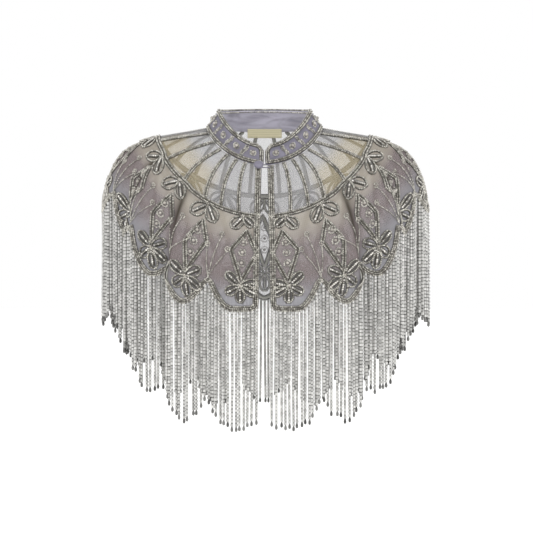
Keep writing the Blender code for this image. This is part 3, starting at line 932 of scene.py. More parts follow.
def sheer_net(settings):
    """Dyed polyester tulle: matt, see-through, with a fine mesh. The yoke is thin and cool, and the band
    below it is dyed from beige through mauve to lavender at the hem."""
    made, tree, shader = new_material("polyester_tulle")
    shader["Roughness"].default_value = 0.9
    shader["IOR"].default_value = 1.4
    shader["Specular IOR Level"].default_value = 0.2
    dye = add(tree, "ShaderNodeAttribute", attribute_name="dye").outputs["Fac"]
    warm = add(tree, "ShaderNodeAttribute", attribute_name="warm").outputs["Fac"]
    place = add(tree, "ShaderNodeUVMap", uv_map="cloth").outputs[0]
    shade = add(
        tree,
        "ShaderNodeValToRGB",
        {"Fac": dye},
        stops=(
            (0.0, settings.yoke_colour[:] + (1,)),
            (1.0, settings.rim_colour[:] + (1,)),
            (0.485, settings.yoke_colour[:] + (1,)),
            (0.5, settings.band_colour[:] + (1,)),
            (0.57, settings.band_colour[:] + (1,)),
            (0.68, settings.mauve_colour[:] + (1,)),
            (0.83, settings.mauve_colour[:] + (1,)),
            (0.94, settings.rim_colour[:] + (1,)),
        ),
    )
    tinted = add(
        tree,
        "ShaderNodeMix",
        {"Factor_Float": warm, "A_Color": shade.outputs[0], "B_Color": linear("#A69873")},
        data_type="RGBA",
    )
    # lap marks where the cloth laps at a tuck. There it darkens the colour as painted shade, and it also makes the net
    # denser in the alpha below.
    pale = add(tree, "ShaderNodeAttribute", attribute_name="pale").outputs["Fac"]
    lap = add(tree, "ShaderNodeAttribute", attribute_name="lap").outputs["Fac"]
    paler = add(tree, "ShaderNodeMath", {"Value": pale, "Value_001": 0.85}, operation="MULTIPLY")
    backed = add(
        tree,
        "ShaderNodeMix",
        {"Factor_Float": paler.outputs[0], "A_Color": tinted.outputs[2], "B_Color": linear("#BEBDBF")},
        data_type="RGBA",
    )
    # Painted shade on the hidden side of each tuck: the colour is mixed towards dark brown-grey (#38332C) as lap
    # rises.
    lap_shade_factor = add(tree, "ShaderNodeMath", {"Value": lap, "Value_001": 1.0}, operation="MULTIPLY")
    lap_shaded = add(
        tree,
        "ShaderNodeMix",
        {"Factor_Float": lap_shade_factor.outputs[0], "A_Color": backed.outputs[2], "B_Color": linear("#38332C")},
        data_type="RGBA",
    )
    # Cloudy dye, in patches about 14 mm wide
    cloud = add(tree, "ShaderNodeTexNoise", {"Vector": place, "Scale": 70.0, "Detail": 3.0})
    uneven = add(
        tree, "ShaderNodeMapRange", {"Value": cloud.outputs[0], "To Min": 0.84, "To Max": 1.14}
    )
    # Tulle's mesh is about 1.2 mm across; it is drawn at 2.6 mm, the finest that shows
    mesh = add(
        tree,
        "ShaderNodeTexVoronoi",
        {"Vector": place, "Scale": 385.0, "Randomness": 0.35},
        feature="DISTANCE_TO_EDGE",
    )
    thread = add(
        tree,
        "ShaderNodeMapRange",
        {"Value": mesh.outputs["Distance"], "From Max": 0.22, "To Min": 1.0, "To Max": 0.0},
    )
    dyed = add(
        tree,
        "ShaderNodeMix",
        {"Factor_Float": 1.0, "A_Color": lap_shaded.outputs[2], "B_Color": uneven.outputs[0]},
        data_type="RGBA",
        blend_type="MULTIPLY",
    )
    tree.links.new(dyed.outputs[2], shader["Base Color"])
    cover = add(
        tree,
        "ShaderNodeMapRange",
        {
            "Value": dye,
            "From Min": 0.47,
            "From Max": 0.53,
            "To Min": settings.yoke_cover,
            "To Max": settings.band_cover,
        },
    )
    denser = add(
        tree,
        "ShaderNodeMath",
        {"Value": thread.outputs[0], "Value_001": 0.10, "Value_002": cover.outputs[0]},
        operation="MULTIPLY_ADD",
    )
    thinner = add(tree, "ShaderNodeMapRange", {"Value": pale, "To Min": 1.0, "To Max": 0.6})
    closer = add(tree, "ShaderNodeMath", {"Value": lap, "Value_001": 0.45}, operation="MULTIPLY")
    alpha = add(
        tree,
        "ShaderNodeMath",
        {"Value": denser.outputs[0], "Value_001": thinner.outputs[0], "Value_002": closer.outputs[0]},
        operation="MULTIPLY_ADD",
    )
    tree.links.new(alpha.outputs[0], shader["Alpha"])
    bump = add(
        tree, "ShaderNodeBump", {"Height": thread.outputs[0], "Distance": 0.0003, "Strength": 0.4}
    )
    tree.links.new(bump.outputs[0], shader["Normal"])
    return made


def satin(name, colour, uv_map=None):
    """Polyester satin: smooth, with a soft broad sheen along its fine warp threads; its colour also carries painted
    shade and painted sheen of folds in broad streaks.
    """
    made, tree, shader = new_material(name)
    shader["IOR"].default_value = 1.5
    shader["Sheen Weight"].default_value = 0.35
    shader["Sheen Roughness"].default_value = 0.4
    if uv_map:
        place = add(tree, "ShaderNodeUVMap", uv_map=uv_map).outputs[0]
    else:
        place = add(tree, "ShaderNodeTexCoord").outputs["Object"]
    # Warp threads are 0.1 mm apart; slubs in them are drawn about 3 mm apart, the finest that shows
    threads = add(
        tree, "ShaderNodeTexNoise", {"Vector": place, "Scale": 330.0, "Detail": 4.0, "Distortion": 0.2}
    )
    # Painted shade and sheen of soft folds: a stretched noise darkens the colour to 0.66 times and lightens it to 1.12
    # times in broad streaks.
    stretched = add(tree, "ShaderNodeMapping", {"Vector": place, "Scale": (0.6, 2.2, 1.0)})
    fold_shade_noise = add(
        tree,
        "ShaderNodeTexNoise",
        {"Vector": stretched.outputs[0], "Scale": 45.0, "Detail": 3.0, "Distortion": 0.8},
    )
    painted_fold_shade = add(
        tree,
        "ShaderNodeValToRGB",
        {"Fac": fold_shade_noise.outputs[0]},
        stops=(
            (0.32, tuple(c * 0.66 for c in colour[:3]) + (1,)),
            (0.62, tuple(min(1, c * 1.12) for c in colour[:3]) + (1,)),
        ),
    )
    tree.links.new(painted_fold_shade.outputs[0], shader["Base Color"])
    gloss = add(tree, "ShaderNodeMapRange", {"Value": threads.outputs[0], "To Min": 0.36, "To Max": 0.58})
    tree.links.new(gloss.outputs[0], shader["Roughness"])
    bump = add(
        tree, "ShaderNodeBump", {"Height": threads.outputs[0], "Distance": 0.0003, "Strength": 0.5}
    )
    tree.links.new(bump.outputs[0], shader["Normal"])
    return made


def glass_beads(name, dark, light, roughness, metallic):
    """Silver-lined glass beads: bright lining under clear glass, so each bead has its own tone and a hard
    small glint."""
    made, tree, shader = new_material(name)
    shader["Metallic"].default_value = metallic
    shader["Coat Weight"].default_value = 0.5
    shader["Coat Roughness"].default_value = 0.08
    tone = add(tree, "ShaderNodeAttribute", attribute_name="tone").outputs["Fac"]
    shade = add(
        tree, "ShaderNodeValToRGB", {"Fac": tone}, stops=((0.0, dark), (1.0, light), (0.45, tuple(
            (a + b) / 2 for a, b in zip(dark, light)
        )))
    )
    place = add(tree, "ShaderNodeTexCoord").outputs["Object"]
    # Uneven silvering, in spots about 1 mm wide
    spots = add(tree, "ShaderNodeTexNoise", {"Vector": place, "Scale": 900.0, "Detail": 1.0})
    dull = add(tree, "ShaderNodeMapRange", {"Value": spots.outputs[0], "To Min": 0.8, "To Max": 1.15})
    colour = add(
        tree,
        "ShaderNodeMix",
        {"Factor_Float": 1.0, "A_Color": shade.outputs[0], "B_Color": dull.outputs[0]},
        data_type="RGBA",
        blend_type="MULTIPLY",
    )
    tree.links.new(colour.outputs[2], shader["Base Color"])
    rough = add(
        tree,
        "ShaderNodeMapRange",
        {"Value": spots.outputs[0], "To Min": roughness * 0.7, "To Max": roughness * 1.3},
    )
    tree.links.new(rough.outputs[0], shader["Roughness"])
    return made


def pearl_glass():
    """Coated glass pearls: pale, with a soft deep gloss."""
    made, tree, shader = new_material("glass_pearl")
    shader["Roughness"].default_value = 0.22
    shader["Coat Weight"].default_value = 0.8
    shader["Coat Roughness"].default_value = 0.1
    tone = add(tree, "ShaderNodeAttribute", attribute_name="tone").outputs["Fac"]
    shade = add(
        tree,
        "ShaderNodeValToRGB",
        {"Fac": tone},
        stops=((0.0, linear("#8A857D")), (1.0, linear("#AAA59D"))),
    )
    tree.links.new(shade.outputs[0], shader["Base Color"])
    return made


def couching_and_shade():
    """Viscose thread laid side by side under the beads, with a faint cord ridge; its dull dark taupe is partly the
    thread's own colour and partly painted shade round and between the beads.
    """
    made, tree, shader = new_material("couched_viscose_thread")
    shader["Sheen Weight"].default_value = 0.2
    shader["Roughness"].default_value = 0.7
    place = add(tree, "ShaderNodeTexCoord").outputs["Object"]
    # Stitches about 1.5 mm apart
    stitches = add(tree, "ShaderNodeTexNoise", {"Vector": place, "Scale": 650.0, "Detail": 2.0})
    # The dark taupe stops (#332F29 to #4B473F) are partly the thread's own colour and partly painted shade in the gaps
    # round and between the beads.
    shade = add(
        tree,
        "ShaderNodeValToRGB",
        {"Fac": stitches.outputs[0]},
        stops=((0.35, linear("#332F29")), (0.7, linear("#4B473F"))),
    )
    tree.links.new(shade.outputs[0], shader["Base Color"])
    bump = add(
        tree, "ShaderNodeBump", {"Height": stitches.outputs[0], "Distance": 0.0004, "Strength": 0.6}
    )
    tree.links.new(bump.outputs[0], shader["Normal"])
    return made


def wrong_side():
    """The wrong side of the beadwork: flat bobbin threads, matt pale grey."""
    made, tree, shader = new_material("thread_wrong_side")
    shader["Roughness"].default_value = 0.85
    place = add(tree, "ShaderNodeTexCoord").outputs["Object"]
    # Stitches about 2 mm apart
    stitches = add(tree, "ShaderNodeTexNoise", {"Vector": place, "Scale": 500.0, "Detail": 2.0})
    shade = add(
        tree,
        "ShaderNodeValToRGB",
        {"Fac": stitches.outputs[0]},
        stops=((0.3, linear("#96958F")), (0.7, linear("#AEADA7"))),
    )
    tree.links.new(shade.outputs[0], shader["Base Color"])
    return made


def label_tape():
    """Woven polyester label tape: cream, matt, with fine ribs across it."""
    made, tree, shader = new_material("woven_label_tape")
    shader["Roughness"].default_value = 0.75
    place = add(tree, "ShaderNodeUVMap", uv_map="cloth").outputs[0]
    # Ribs are 0.3 mm apart; they are drawn 1.2 mm apart, the finest that shows
    ribs = add(
        tree, "ShaderNodeTexWave", {"Vector": place, "Scale": 130.0, "Distortion": 0.4}, bands_direction="Y"
    )
    shade = add(
        tree,
        "ShaderNodeValToRGB",
        {"Fac": ribs.outputs[0]},
        stops=((0.0, linear("#BDB697")), (1.0, linear("#C6BFA0"))),
    )
    tree.links.new(shade.outputs[0], shader["Base Color"])
    bump = add(tree, "ShaderNodeBump", {"Height": ribs.outputs[0], "Distance": 0.0002, "Strength": 0.5})
    tree.links.new(bump.outputs[0], shader["Normal"])
    return made


def studio_paper(strength):
    """Seamless white background paper: matt and even, lit almost to white."""
    made, tree, shader = new_material("white_background_paper")
    place = add(tree, "ShaderNodeTexCoord").outputs["Object"]
    grain = add(tree, "ShaderNodeTexNoise", {"Vector": place, "Scale": 6.0, "Detail": 2.0})
    shade = add(
        tree,
        "ShaderNodeValToRGB",
        {"Fac": grain.outputs[0]},
        stops=((0.3, linear("#F4F4F2")), (0.7, linear("#F8F8F7"))),
    )
    tree.links.new(shade.outputs[0], shader["Base Color"])
    shader["Roughness"].default_value = 0.95
    shader["Emission Color"].default_value = (1, 1, 1, 1)
    shader["Emission Strength"].default_value = strength
    return made


PANELS = (
    ("front_right", 0, FRONT_SCALLOPS),
    ("back", FRONT_SCALLOPS, SCALLOPS - FRONT_SCALLOPS),
    ("front_left", SCALLOPS - FRONT_SCALLOPS, SCALLOPS),
)


def shared(name, build, *values):
    """A material or tree that is built once and then found again by its name."""
    found = bpy.data.materials.get(name) or bpy.data.node_groups.get(name)
    return found or build(*values)


def silver(settings):
    dark, light = settings.dark_colour[:] + (1,), settings.light_colour[:] + (1,)
    return shared("silver_lined_beads", glass_beads, "silver_lined_beads", dark, light, 0.28, 0.6)


def bead_rows(name, rows, settings, spacing=1.0, width=1.0, length_share=1.0, material=None):
    values = {
        "Spacing": settings.spacing * spacing,
        "Bead Width": settings.width * width,
        "Bead Length": settings.length * length_share,
        "Seed": settings.seed,
        "Material": material or silver(settings),
    }
    return grown(name, path_mesh(name, rows), shared("bead_rows", bead_row_tree), values)


class CapeNetSettings(bpy.types.PropertyGroup):
    thickness: bpy.props.FloatProperty(
        name="Net Thickness", description="Thickness of the net", default=0.5 * MM, unit="LENGTH"
    )
    yoke_cover: bpy.props.FloatProperty(
        name="Yoke Cover", description="How much one face of the yoke hides", default=0.34, subtype="FACTOR"
    )
    band_cover: bpy.props.FloatProperty(
        name="Band Cover", description="How much one face of the band hides", default=0.58, subtype="FACTOR"
    )
    yoke_colour: bpy.props.FloatVectorProperty(
        name="Yoke Colour", description="Dye of the yoke", default=linear("#999899")[:3], subtype="COLOR"
    )
    band_colour: bpy.props.FloatVectorProperty(
        name="Band Colour", description="Dye below the yoke", default=linear("#A29B90")[:3], subtype="COLOR"
    )
    mauve_colour: bpy.props.FloatVectorProperty(
        name="Mauve Colour", description="Dye round the flowers", default=linear("#7F7575")[:3], subtype="COLOR"
    )
    rim_colour: bpy.props.FloatVectorProperty(
        name="Rim Colour", description="Dye along the hem", default=linear("#908F94")[:3], subtype="COLOR"
    )


class CapeSatinSettings(bpy.types.PropertyGroup):
    colour: bpy.props.FloatVectorProperty(
        name="Satin Colour", description="Dye of the satin", default=linear("#6A6775")[:3], subtype="COLOR"
    )
    lining_colour: bpy.props.FloatVectorProperty(
        name="Lining Colour", description="Dye of the lining", default=linear("#A7A4B1")[:3], subtype="COLOR"
    )
    button_radius: bpy.props.FloatProperty(
        name="Button Radius", description="Radius of the covered button", default=6 * MM, unit="LENGTH"
    )


class CapeBeadSettings(bpy.types.PropertyGroup):
    spacing: bpy.props.FloatProperty(
        name="Bead Spacing", description="Distance between beads in a row", default=2.1 * MM, unit="LENGTH"
    )
    width: bpy.props.FloatProperty(
        name="Bead Width", description="Width of a seed bead", default=2.25 * MM, unit="LENGTH"
    )
    length: bpy.props.FloatProperty(
        name="Bead Length", description="Length of a seed bead", default=1.75 * MM, unit="LENGTH"
    )
    dark_colour: bpy.props.FloatVectorProperty(
        name="Dark Tone", description="Darkest silvering", default=linear("#7D7972")[:3], subtype="COLOR"
    )
    light_colour: bpy.props.FloatVectorProperty(
        name="Light Tone", description="Brightest silvering", default=linear("#D2CFC6")[:3], subtype="COLOR"
    )
    seed: bpy.props.IntProperty(name="Seed", description="Seed of the beads' tones and sizes", default=5)


class CapeFringeSettings(bpy.types.PropertyGroup):
    periods: bpy.props.IntProperty(
        name="Beads Per Strand", description="Bugle beads down one strand", default=32
    )
    bugle_width: bpy.props.FloatProperty(
        name="Bugle Width", description="Width of a bugle bead", default=3.7 * MM, unit="LENGTH"
    )
    bugle_length: bpy.props.FloatProperty(
        name="Bugle Length", description="Length of a bugle bead", default=3.0 * MM, unit="LENGTH"
    )
    seed_width: bpy.props.FloatProperty(
        name="Seed Bead Width", description="Width of the beads between", default=3.0 * MM, unit="LENGTH"
    )
    drop_width: bpy.props.FloatProperty(
        name="Drop Width", description="Width of an end drop", default=4.0 * MM, unit="LENGTH"
    )
    drop_length: bpy.props.FloatProperty(
        name="Drop Length", description="Length of an end drop", default=8.0 * MM, unit="LENGTH"
    )
    sway: bpy.props.FloatProperty(
        name="Sway", description="How far a strand's foot hangs off plumb", default=1.2 * MM, unit="LENGTH"
    )
    seed: bpy.props.IntProperty(name="Seed", description="Seed of the strands' sway and tones", default=11)


class CapeStageSettings(bpy.types.PropertyGroup):
    light: bpy.props.FloatProperty(name="Light", description="Strength of the studio light", default=1.0)
    distance: bpy.props.FloatProperty(
        name="Camera Distance", description="From the camera to the neck", default=2.0, unit="LENGTH"
    )


def settings_of(name):
    return getattr(bpy.context.scene, name)


class OBJECT_OT_cape_net(bpy.types.Operator):
    """Adds the sheer net fronts and back"""

    bl_idname = "object.cape_net"
    bl_label = "Add Net"

    def execute(self, context):
        settings = settings_of("cape_net")
        material = shared("polyester_tulle", sheer_net, settings)
        for name, first, last in PANELS:
            u = np.linspace(first, last, (last - first) * 14 + 1)
            yoke = np.linspace(0, 1, 15)[:-1]
            band = np.linspace(0, 1, 29)
            line = yoke_end(u)[:, None]
            down = np.concatenate(
                [
                    NECK_ALLOWANCE + (line - NECK_ALLOWANCE) * yoke,
                    line + (hem(u)[:, None] - line) * band,
                ],
                axis=1,
            )
            places = np.repeat(u[:, None], down.shape[1], axis=1)
            if first:
                places[0] = beside(float(first), down[0], SEAM_GAP / 2)
            if last < SCALLOPS:
                places[-1] = beside(float(last), down[-1], -SEAM_GAP / 2)
            points, normals = cloth(places, down), outward(places, down)
            below = (down - line) / (length(u)[:, None] - line)
            dye = np.where(down < line, 0.5 * down / line, 0.5 + 0.5 * np.clip(below, 0, 1))
            near = np.minimum(places, SCALLOPS - places)
            outer = smooth((near - 1.9) / 0.5) * smooth((6.5 - near) / 1.5)
            dye = dye + 0.10 * outer * smooth((dye - 0.60) / 0.1)
            warm = smooth((near - 1.2) / 0.5) * smooth((4.6 - near) / 0.8)
            warm = warm * smooth((dye - 0.14) / 0.16) * (dye < 0.5) * 0.75
            pale = smooth((near - 5.2) / 1.6)
            # Painted shade beside each tuck, where the cloth laps: this mask darkens the net's colour there and also
            # makes the net denser.
            lap = np.zeros_like(near)
            for tuck in TUCKS:
                behind = (places - tuck.u) * (1 if tuck.u < SCALLOPS / 2 else -1)
                lap = np.maximum(lap, np.exp(-(((behind - 0.06) / 0.13) ** 2)) * smooth((dye - 0.42) / 0.2))
            layers = (("dye", dye), ("warm", warm), ("pale", pale), ("lap", lap))
            lifts = (NET_LIFT, NET_LIFT + settings.thickness)
            made = shell("net_" + name, points, normals, *lifts, material, layers)
            cloth_map(made, places * 0.062, down)
            placed(made, "net", name)
        return {"FINISHED"}


class OBJECT_OT_cape_collar(bpy.types.Operator):
    """Adds the satin stand collar with its lining, its bead frame and its pearls"""

    bl_idname = "object.cape_collar"
    bl_label = "Add Collar"

    def execute(self, context):
        satins = settings_of("cape_satin")
        beads = settings_of("cape_beads")
        u = np.concatenate([np.linspace(0, 0.5, 9)[:-1], np.linspace(0.5, 18.5, 130), np.linspace(18.5, 19, 9)[1:]])
        share = np.linspace(0.02, 1.0, 9)[None, ::-1] * collar_height(u)[:, None]
        places = np.repeat(u[:, None], 9, axis=1)
        points = collar_points(places, share, 0.0)
        normals = unit(collar_points(places, share, 1 * MM) - points)
        outside = satin("lavender_satin", satins.colour[:] + (1,), "cloth")
        inside_cloth = satin("lavender_satin_lining", satins.lining_colour[:] + (1,), "cloth")
        for name, low, high, material, node in (
            ("collar_satin", 0.2, 1.4, outside, "collar"),
            ("collar_lining_satin", -1.3, -0.3, inside_cloth, "collar_lining"),
        ):
            made = shell(name, points, normals, low * MM, high * MM, material)
            cloth_map(made, places * COLLAR_PACE, share * 29 * MM)
            placed(made, "satin", node)
        outer, inner = collar_loop(1.3), collar_loop(4.0)
        rows = [row(outer, 0, 0.9 * MM, 0.6), row(inner, 0, 0.9 * MM, -0.6)]
        top_u = np.linspace(0.1, SCALLOPS - 0.1, 220)
        top, top_normals = collar_line(top_u, collar_height(top_u) * 1.03)
        crown = Line(top, top_normals, False)
        rows += [row(crown, 0, -0.9 * MM, 0.6), row(crown, -2.4 * MM, -3.2 * MM, -0.6)]
        pearls = []
        for k in range(18):
            middle = 0.62 + k * 1.045
            height = float(collar_height(np.array(middle))) * 0.53
            turn = np.linspace(0, 2 * math.pi, 10, endpoint=False)
            around = np.array(middle) + 3.7 * MM * np.cos(turn) / COLLAR_PACE
            up = height + 3.7 / 29 * np.sin(turn)
            ring_points_, ring_normals = collar_line(around, up)
            rows.append(row(Line(ring_points_, ring_normals, True), 0, 0.8 * MM, 0.4))
            point, normal = collar_line(np.array([middle]), np.array([height]))
            pearls.append(Pearl(point[0] + normal[0] * 1.6 * MM, normal[0], 4.4 * MM))
            if k < 17:
                away = -1 if middle < SCALLOPS / 2 else 1
                slash = np.linspace(-1, 1, 8)
                across = middle + 0.52 + away * (slash * 0.13 + 0.03 * np.sin(slash * 4))
                points_, normals_ = collar_line(across, 0.53 + 0.24 * slash)
                wave = Line(points_, normals_, False)
                rows += pair(wave, 3.4 * MM, 0.8 * MM)
                rows.append(row(wave, 0, 1.0 * MM, 0.5))
        made = bead_rows("collar_beads", rows, beads)
        placed(made, "beads", "collar_edging")
        # Dark strips under the collar's bead rows: couched thread, and painted shade round the beads.
        couching_and_shade_lines = [(outer, 1.6 * MM, 0), (inner, 1.6 * MM, 0)]
        lowered = [(Line(line.points - line.normals * 0.9 * MM, line.normals, line.closed), half, across)
                   for line, half, across in couching_and_shade_lines]
        placed(strips("collar_couching", lowered, shared("couched_viscose_thread", couching_and_shade)), "beads")
        mesh = point_mesh(
            "collar_pearls", [p.point for p in pearls], [p.normal for p in pearls], [p.width for p in pearls]
        )
        values = {"Seed": beads.seed, "Material": shared("glass_pearl", pearl_glass)}
        placed(grown("collar_pearls", mesh, shared("pearls", pearl_tree), values), "beads")
        return {"FINISHED"}


class OBJECT_OT_cape_label(bpy.types.Operator):
    """Adds the blank woven label inside the back of the neck"""

    bl_idname = "object.cape_label"
    bl_label = "Add Label"

    def execute(self, context):
        middle = SCALLOPS / 2
        half = 24 * MM / float(pace(middle, NECK_ALLOWANCE))
        u = np.linspace(middle - half, middle + half, 33)
        top = collar_points(u, np.full_like(u, 0.16), -2.5 * MM)
        drop = np.linspace(0, 11.5 * MM, 9)
        bow = 0.35 * MM * np.sin(np.linspace(0, math.pi, 9))
        points = top[:, None, :] - drop[None, :, None] * np.array([0, 0, 1.0])
        outer = unit(collar_points(u, np.full_like(u, 0.16), 0.0) - top)
        normals = np.repeat(outer[:, None, :], 9, axis=1)
        points = points + normals * bow[None, :, None]
        made = shell("label_tape", points, normals, 0.1 * MM, 0.7 * MM, label_tape())
        across = np.repeat(np.linspace(0, 48 * MM, 33)[:, None], 9, axis=1)
        cloth_map(made, across, np.repeat(drop[None, :], 33, axis=0))
        placed(made, "label", "neck_label")
        return {"FINISHED"}


class OBJECT_OT_cape_button(bpy.types.Operator):
    """Adds the covered button and its fine cord loop"""

    bl_idname = "object.cape_button"
    bl_label = "Add Button"

    def execute(self, context):
        settings = settings_of("cape_satin")
        place = float(beside(0, 7 * MM, 3 * MM))
        normal = Vector(outward(place, 7 * MM))
        base = Vector(cloth(place, 7 * MM)) + normal * 4.1 * MM
        turned = normal.to_track_quat("Z", "Y")
        radius, count = settings.button_radius, 40
        profile = [(math.radians(a), 1.0) for a in (88, 80, 70, 58, 45, 32, 20, 10)]
        verts, faces = [], []
        rings = [(1.6 * MM, 0.0), (1.6 * MM, 2 * MM), (radius * 0.84, 2 * MM), (radius * 0.97, 2.6 * MM)]
        rings += [
            (radius * math.sin(a), 2 * MM + 5 * MM * (0.35 + 0.65 * math.cos(a))) for a, _ in profile
        ]
        for number, (wide, high) in enumerate(rings):
            for k in range(count):
                angle = 2 * math.pi * k / count
                pucker = 1 + (0.03 * math.cos(angle * 10) if number in (2, 3) else 0)
                spot = Vector((wide * pucker * math.cos(angle), wide * pucker * math.sin(angle), high))
                verts.append(base + turned @ spot)
        for ring_number in range(len(rings) - 1):
            for k in range(count):
                here, after = ring_number * count + k, ring_number * count + (k + 1) % count
                faces.append((here, after, after + count, here + count))
        faces.append(tuple(reversed(range(count))))
        top = len(verts)
        verts.append(base + turned @ Vector((0, 0, 7 * MM)))
        last = (len(rings) - 1) * count
        faces += [(last + k, last + (k + 1) % count, top) for k in range(count)]
        mesh = bpy.data.meshes.new("covered_button")
        mesh.from_pydata(verts, [], faces)
        mesh.shade_smooth()
        cover = satin("satin_button_cover", settings.colour[:] + (1,))
        placed(new_object("covered_button", mesh, cover), "satin", "button")

        centre = base + normal * 1 * MM
        left = float(beside(SCALLOPS, 7 * MM, -3 * MM))
        anchor = Vector(cloth(left, 7 * MM) + outward(left, 7 * MM) * 4.9 * MM)
        reach = (anchor - centre).normalized()
        side = normal.cross(reach).normalized()
        bend = 2.5 * MM
        path = [anchor + side * bend * 0.8]
        path += [
            centre + (side * math.sin(a) - reach * math.cos(a)) * bend
            for a in np.radians(np.linspace(90, -90, 13))
        ]
        path.append(anchor - side * bend * 0.8)
        curve = bpy.data.curves.new("loop_path", "CURVE")
        curve.dimensions = "3D"
        curve.bevel_depth = 0.6 * MM
        curve.bevel_resolution = 2
        curve.use_fill_caps = True
        spline = curve.splines.new("POLY")
        spline.points.add(len(path) - 1)
        for spot, point in zip(spline.points, path):
            spot.co = (*point, 1)
        source = bpy.data.objects.new("loop_path", curve)
        context.scene.collection.objects.link(source)
        context.view_layer.update()
        depsgraph = context.evaluated_depsgraph_get()
        tube = bpy.data.meshes.new_from_object(source.evaluated_get(depsgraph))
        bpy.data.objects.remove(source)
        tube.materials.clear()
        cord = satin("satin_cord", settings.colour[:] + (1,))
        placed(new_object("cord_loop", tube, cord), "satin", "button_loop")
        return {"FINISHED"}


class OBJECT_OT_cape_beadwork(bpy.types.Operator):
    """Adds the bead rows of the edges, the yoke and the motifs, with their couched thread, which is dark with painted
    shade round the beads, and pearls
    """

    bl_idname = "object.cape_beadwork"
    bl_label = "Add Beadwork"

    def execute(self, context):
        beads = settings_of("cape_beads")
        thread = shared("couched_viscose_thread", couching_and_shade)
        bright = glass_beads("cut_glass_bugles", linear("#77746E"), linear("#E2DFD8"), 0.2, 0.6)
        underside = shared("thread_wrong_side", wrong_side)
        pearls = []
        for name, first, last in PANELS:
            edge = edge_line(first, last)
            rows = [row(edge, across * MM, BEAD_LIFT, 0.0) for across in (1.1, 3.5, 5.9)]
            placed(bead_rows(name + "_edge_beads", rows, beads), "beads", name + "_edging")
            end, rays = yoke_lines(first, last)
            rows = pair(end, 3.2 * MM, BEAD_LIFT, 0.0)
            for ray in rays:
                rows += pair(ray, 2.5 * MM, BEAD_LIFT, 0.3)
            made = bead_rows(name + "_yoke_beads", rows, beads)
            placed(made, "beads", name + "_yoke_beading")
            # Dark strips under the bead rows: couched thread, and painted shade round and between the beads.
            couching_and_shade_lines = [(edge, 3.8 * MM, 3.3 * MM), (end, 3.2 * MM, 0)]
            couching_and_shade_lines += [(ray, 2.3 * MM, 0) for ray in rays]
            rows = []
            fill_rows, fine_rows, doubles, singles = [], [], [], []
            for number in range(first, last):
                double, outline, single, filling, more = motif_lines(number)
                pearls += more
                doubles += double
                singles += outline + filling
                for line in double:
                    rows += pair(line, 3.4 * MM, BEAD_LIFT, 0.2)
                    couching_and_shade_lines.append((line, 3.1 * MM, 0))
                for line in outline:
                    rows.append(row(line, 0, BEAD_LIFT, 0.2))
                    couching_and_shade_lines.append((line, 1.7 * MM, 0))
                rows += [row(line, 0, BEAD_LIFT, 0.35) for line in single]
                fill_rows += [row(line, 0, BEAD_LIFT, 0.9) for line in filling]
                couching_and_shade_lines += [(line, 3.0 * MM, 0) for line in filling]
            for notch in range(max(1, first), min(last, SCALLOPS - 1) + 1):
                if notch == last and last < SCALLOPS:
                    continue
                lines, more = stamen_lines(notch)
                pearls += more
                fine_rows += [row(line, 0, BEAD_LIFT, 0.0) for line in lines]
            placed(bead_rows(name + "_motif_beads", rows, beads, 1.05, 1.05, 1.0), "beads")
            placed(bead_rows(name + "_stamen_beads", fine_rows, beads, 0.7, 0.75, 0.8), "beads")
            placed(bead_rows(name + "_filling_beads", fill_rows, beads, 1.15, 1.15, 1.7, bright), "beads")
            placed(strips(name + "_couching", couching_and_shade_lines, thread), "beads")
            wrong = [(edge, 2.4 * MM, 3.3 * MM), (end, 2.4 * MM, 0)] + [(ray, 2.3 * MM, 0) for ray in rays]
            wrong += [(line, 1.6 * MM, 0) for line in doubles] + [(line, 0.6 * MM, 0) for line in singles]
            placed(strips(name + "_wrong_side", wrong, underside, 0.15 * MM), "beads")
        mesh = point_mesh(
            "net_pearls", [p.point for p in pearls], [p.normal for p in pearls], [p.width for p in pearls]
        )
        values = {"Seed": beads.seed, "Material": shared("glass_pearl", pearl_glass)}
        placed(grown("net_pearls", mesh, shared("pearls", pearl_tree), values), "beads")
        return {"FINISHED"}


class OBJECT_OT_cape_fringe(bpy.types.Operator):
    """Adds the bead fringe with its end drops"""

    bl_idname = "object.cape_fringe"
    bl_label = "Add Fringe"

    def execute(self, context):
        settings = settings_of("cape_fringe")
        chance = np.random.default_rng(settings.seed)
        glass = glass_beads("crystal_fringe_beads", linear("#32312F"), linear("#CDCCC9"), 0.24, 0.35)
        for name, first, last in PANELS:
            rows, feet = [], []
            for scallop in range(first, last):
                for number in range(STRANDS_PER_SCALLOP):
                    u = scallop + (number + 0.5) / STRANDS_PER_SCALLOP
                    edge = float(hem(u))
                    top = cloth(u, edge - 1 * MM) + outward(u, edge - 1 * MM) * 0.8 * MM
                    drop = STRAND_LENGTH + chance.uniform(-5.0, 2.5) * MM
                    away = chance.uniform(-1, 1, 2) * settings.sway
                    share = np.linspace(0, 1, 9)[:, None]
                    fall = np.array([away[0], away[1], -(drop - settings.drop_length)])
                    points = top + share * fall + np.sin(share * math.pi) * np.array([away[1], away[0], 0]) * 0.4
                    rows.append((points, np.repeat(unit(fall)[None], 9, axis=0), False))
                    feet.append(points[-1] - np.array([0, 0, settings.drop_length / 2 + 0.3 * MM]))
            values = {
                "Beads": settings.periods * 2,
                "Bugle Width": settings.bugle_width,
                "Bugle Length": settings.bugle_length,
                "Seed Bead Width": settings.seed_width,
                "Seed": settings.seed,
                "Material": glass,
            }
            made = grown(
                name + "_strands", path_mesh(name, rows), shared("fringe_strands", strand_tree), values
            )
            placed(made, "strands", name + "_fringe")
            up = [(0, 0, 1)] * len(feet)
            mesh = point_mesh(name, feet, up, [1.0] * len(feet))
            values = {
                "Drop Width": settings.drop_width,
                "Drop Length": settings.drop_length,
                "Seed": settings.seed,
                "Material": glass,
            }
            made = grown(name + "_drops", mesh, shared("fringe_drops", drop_tree), values)
            placed(made, "strands")
        return {"FINISHED"}


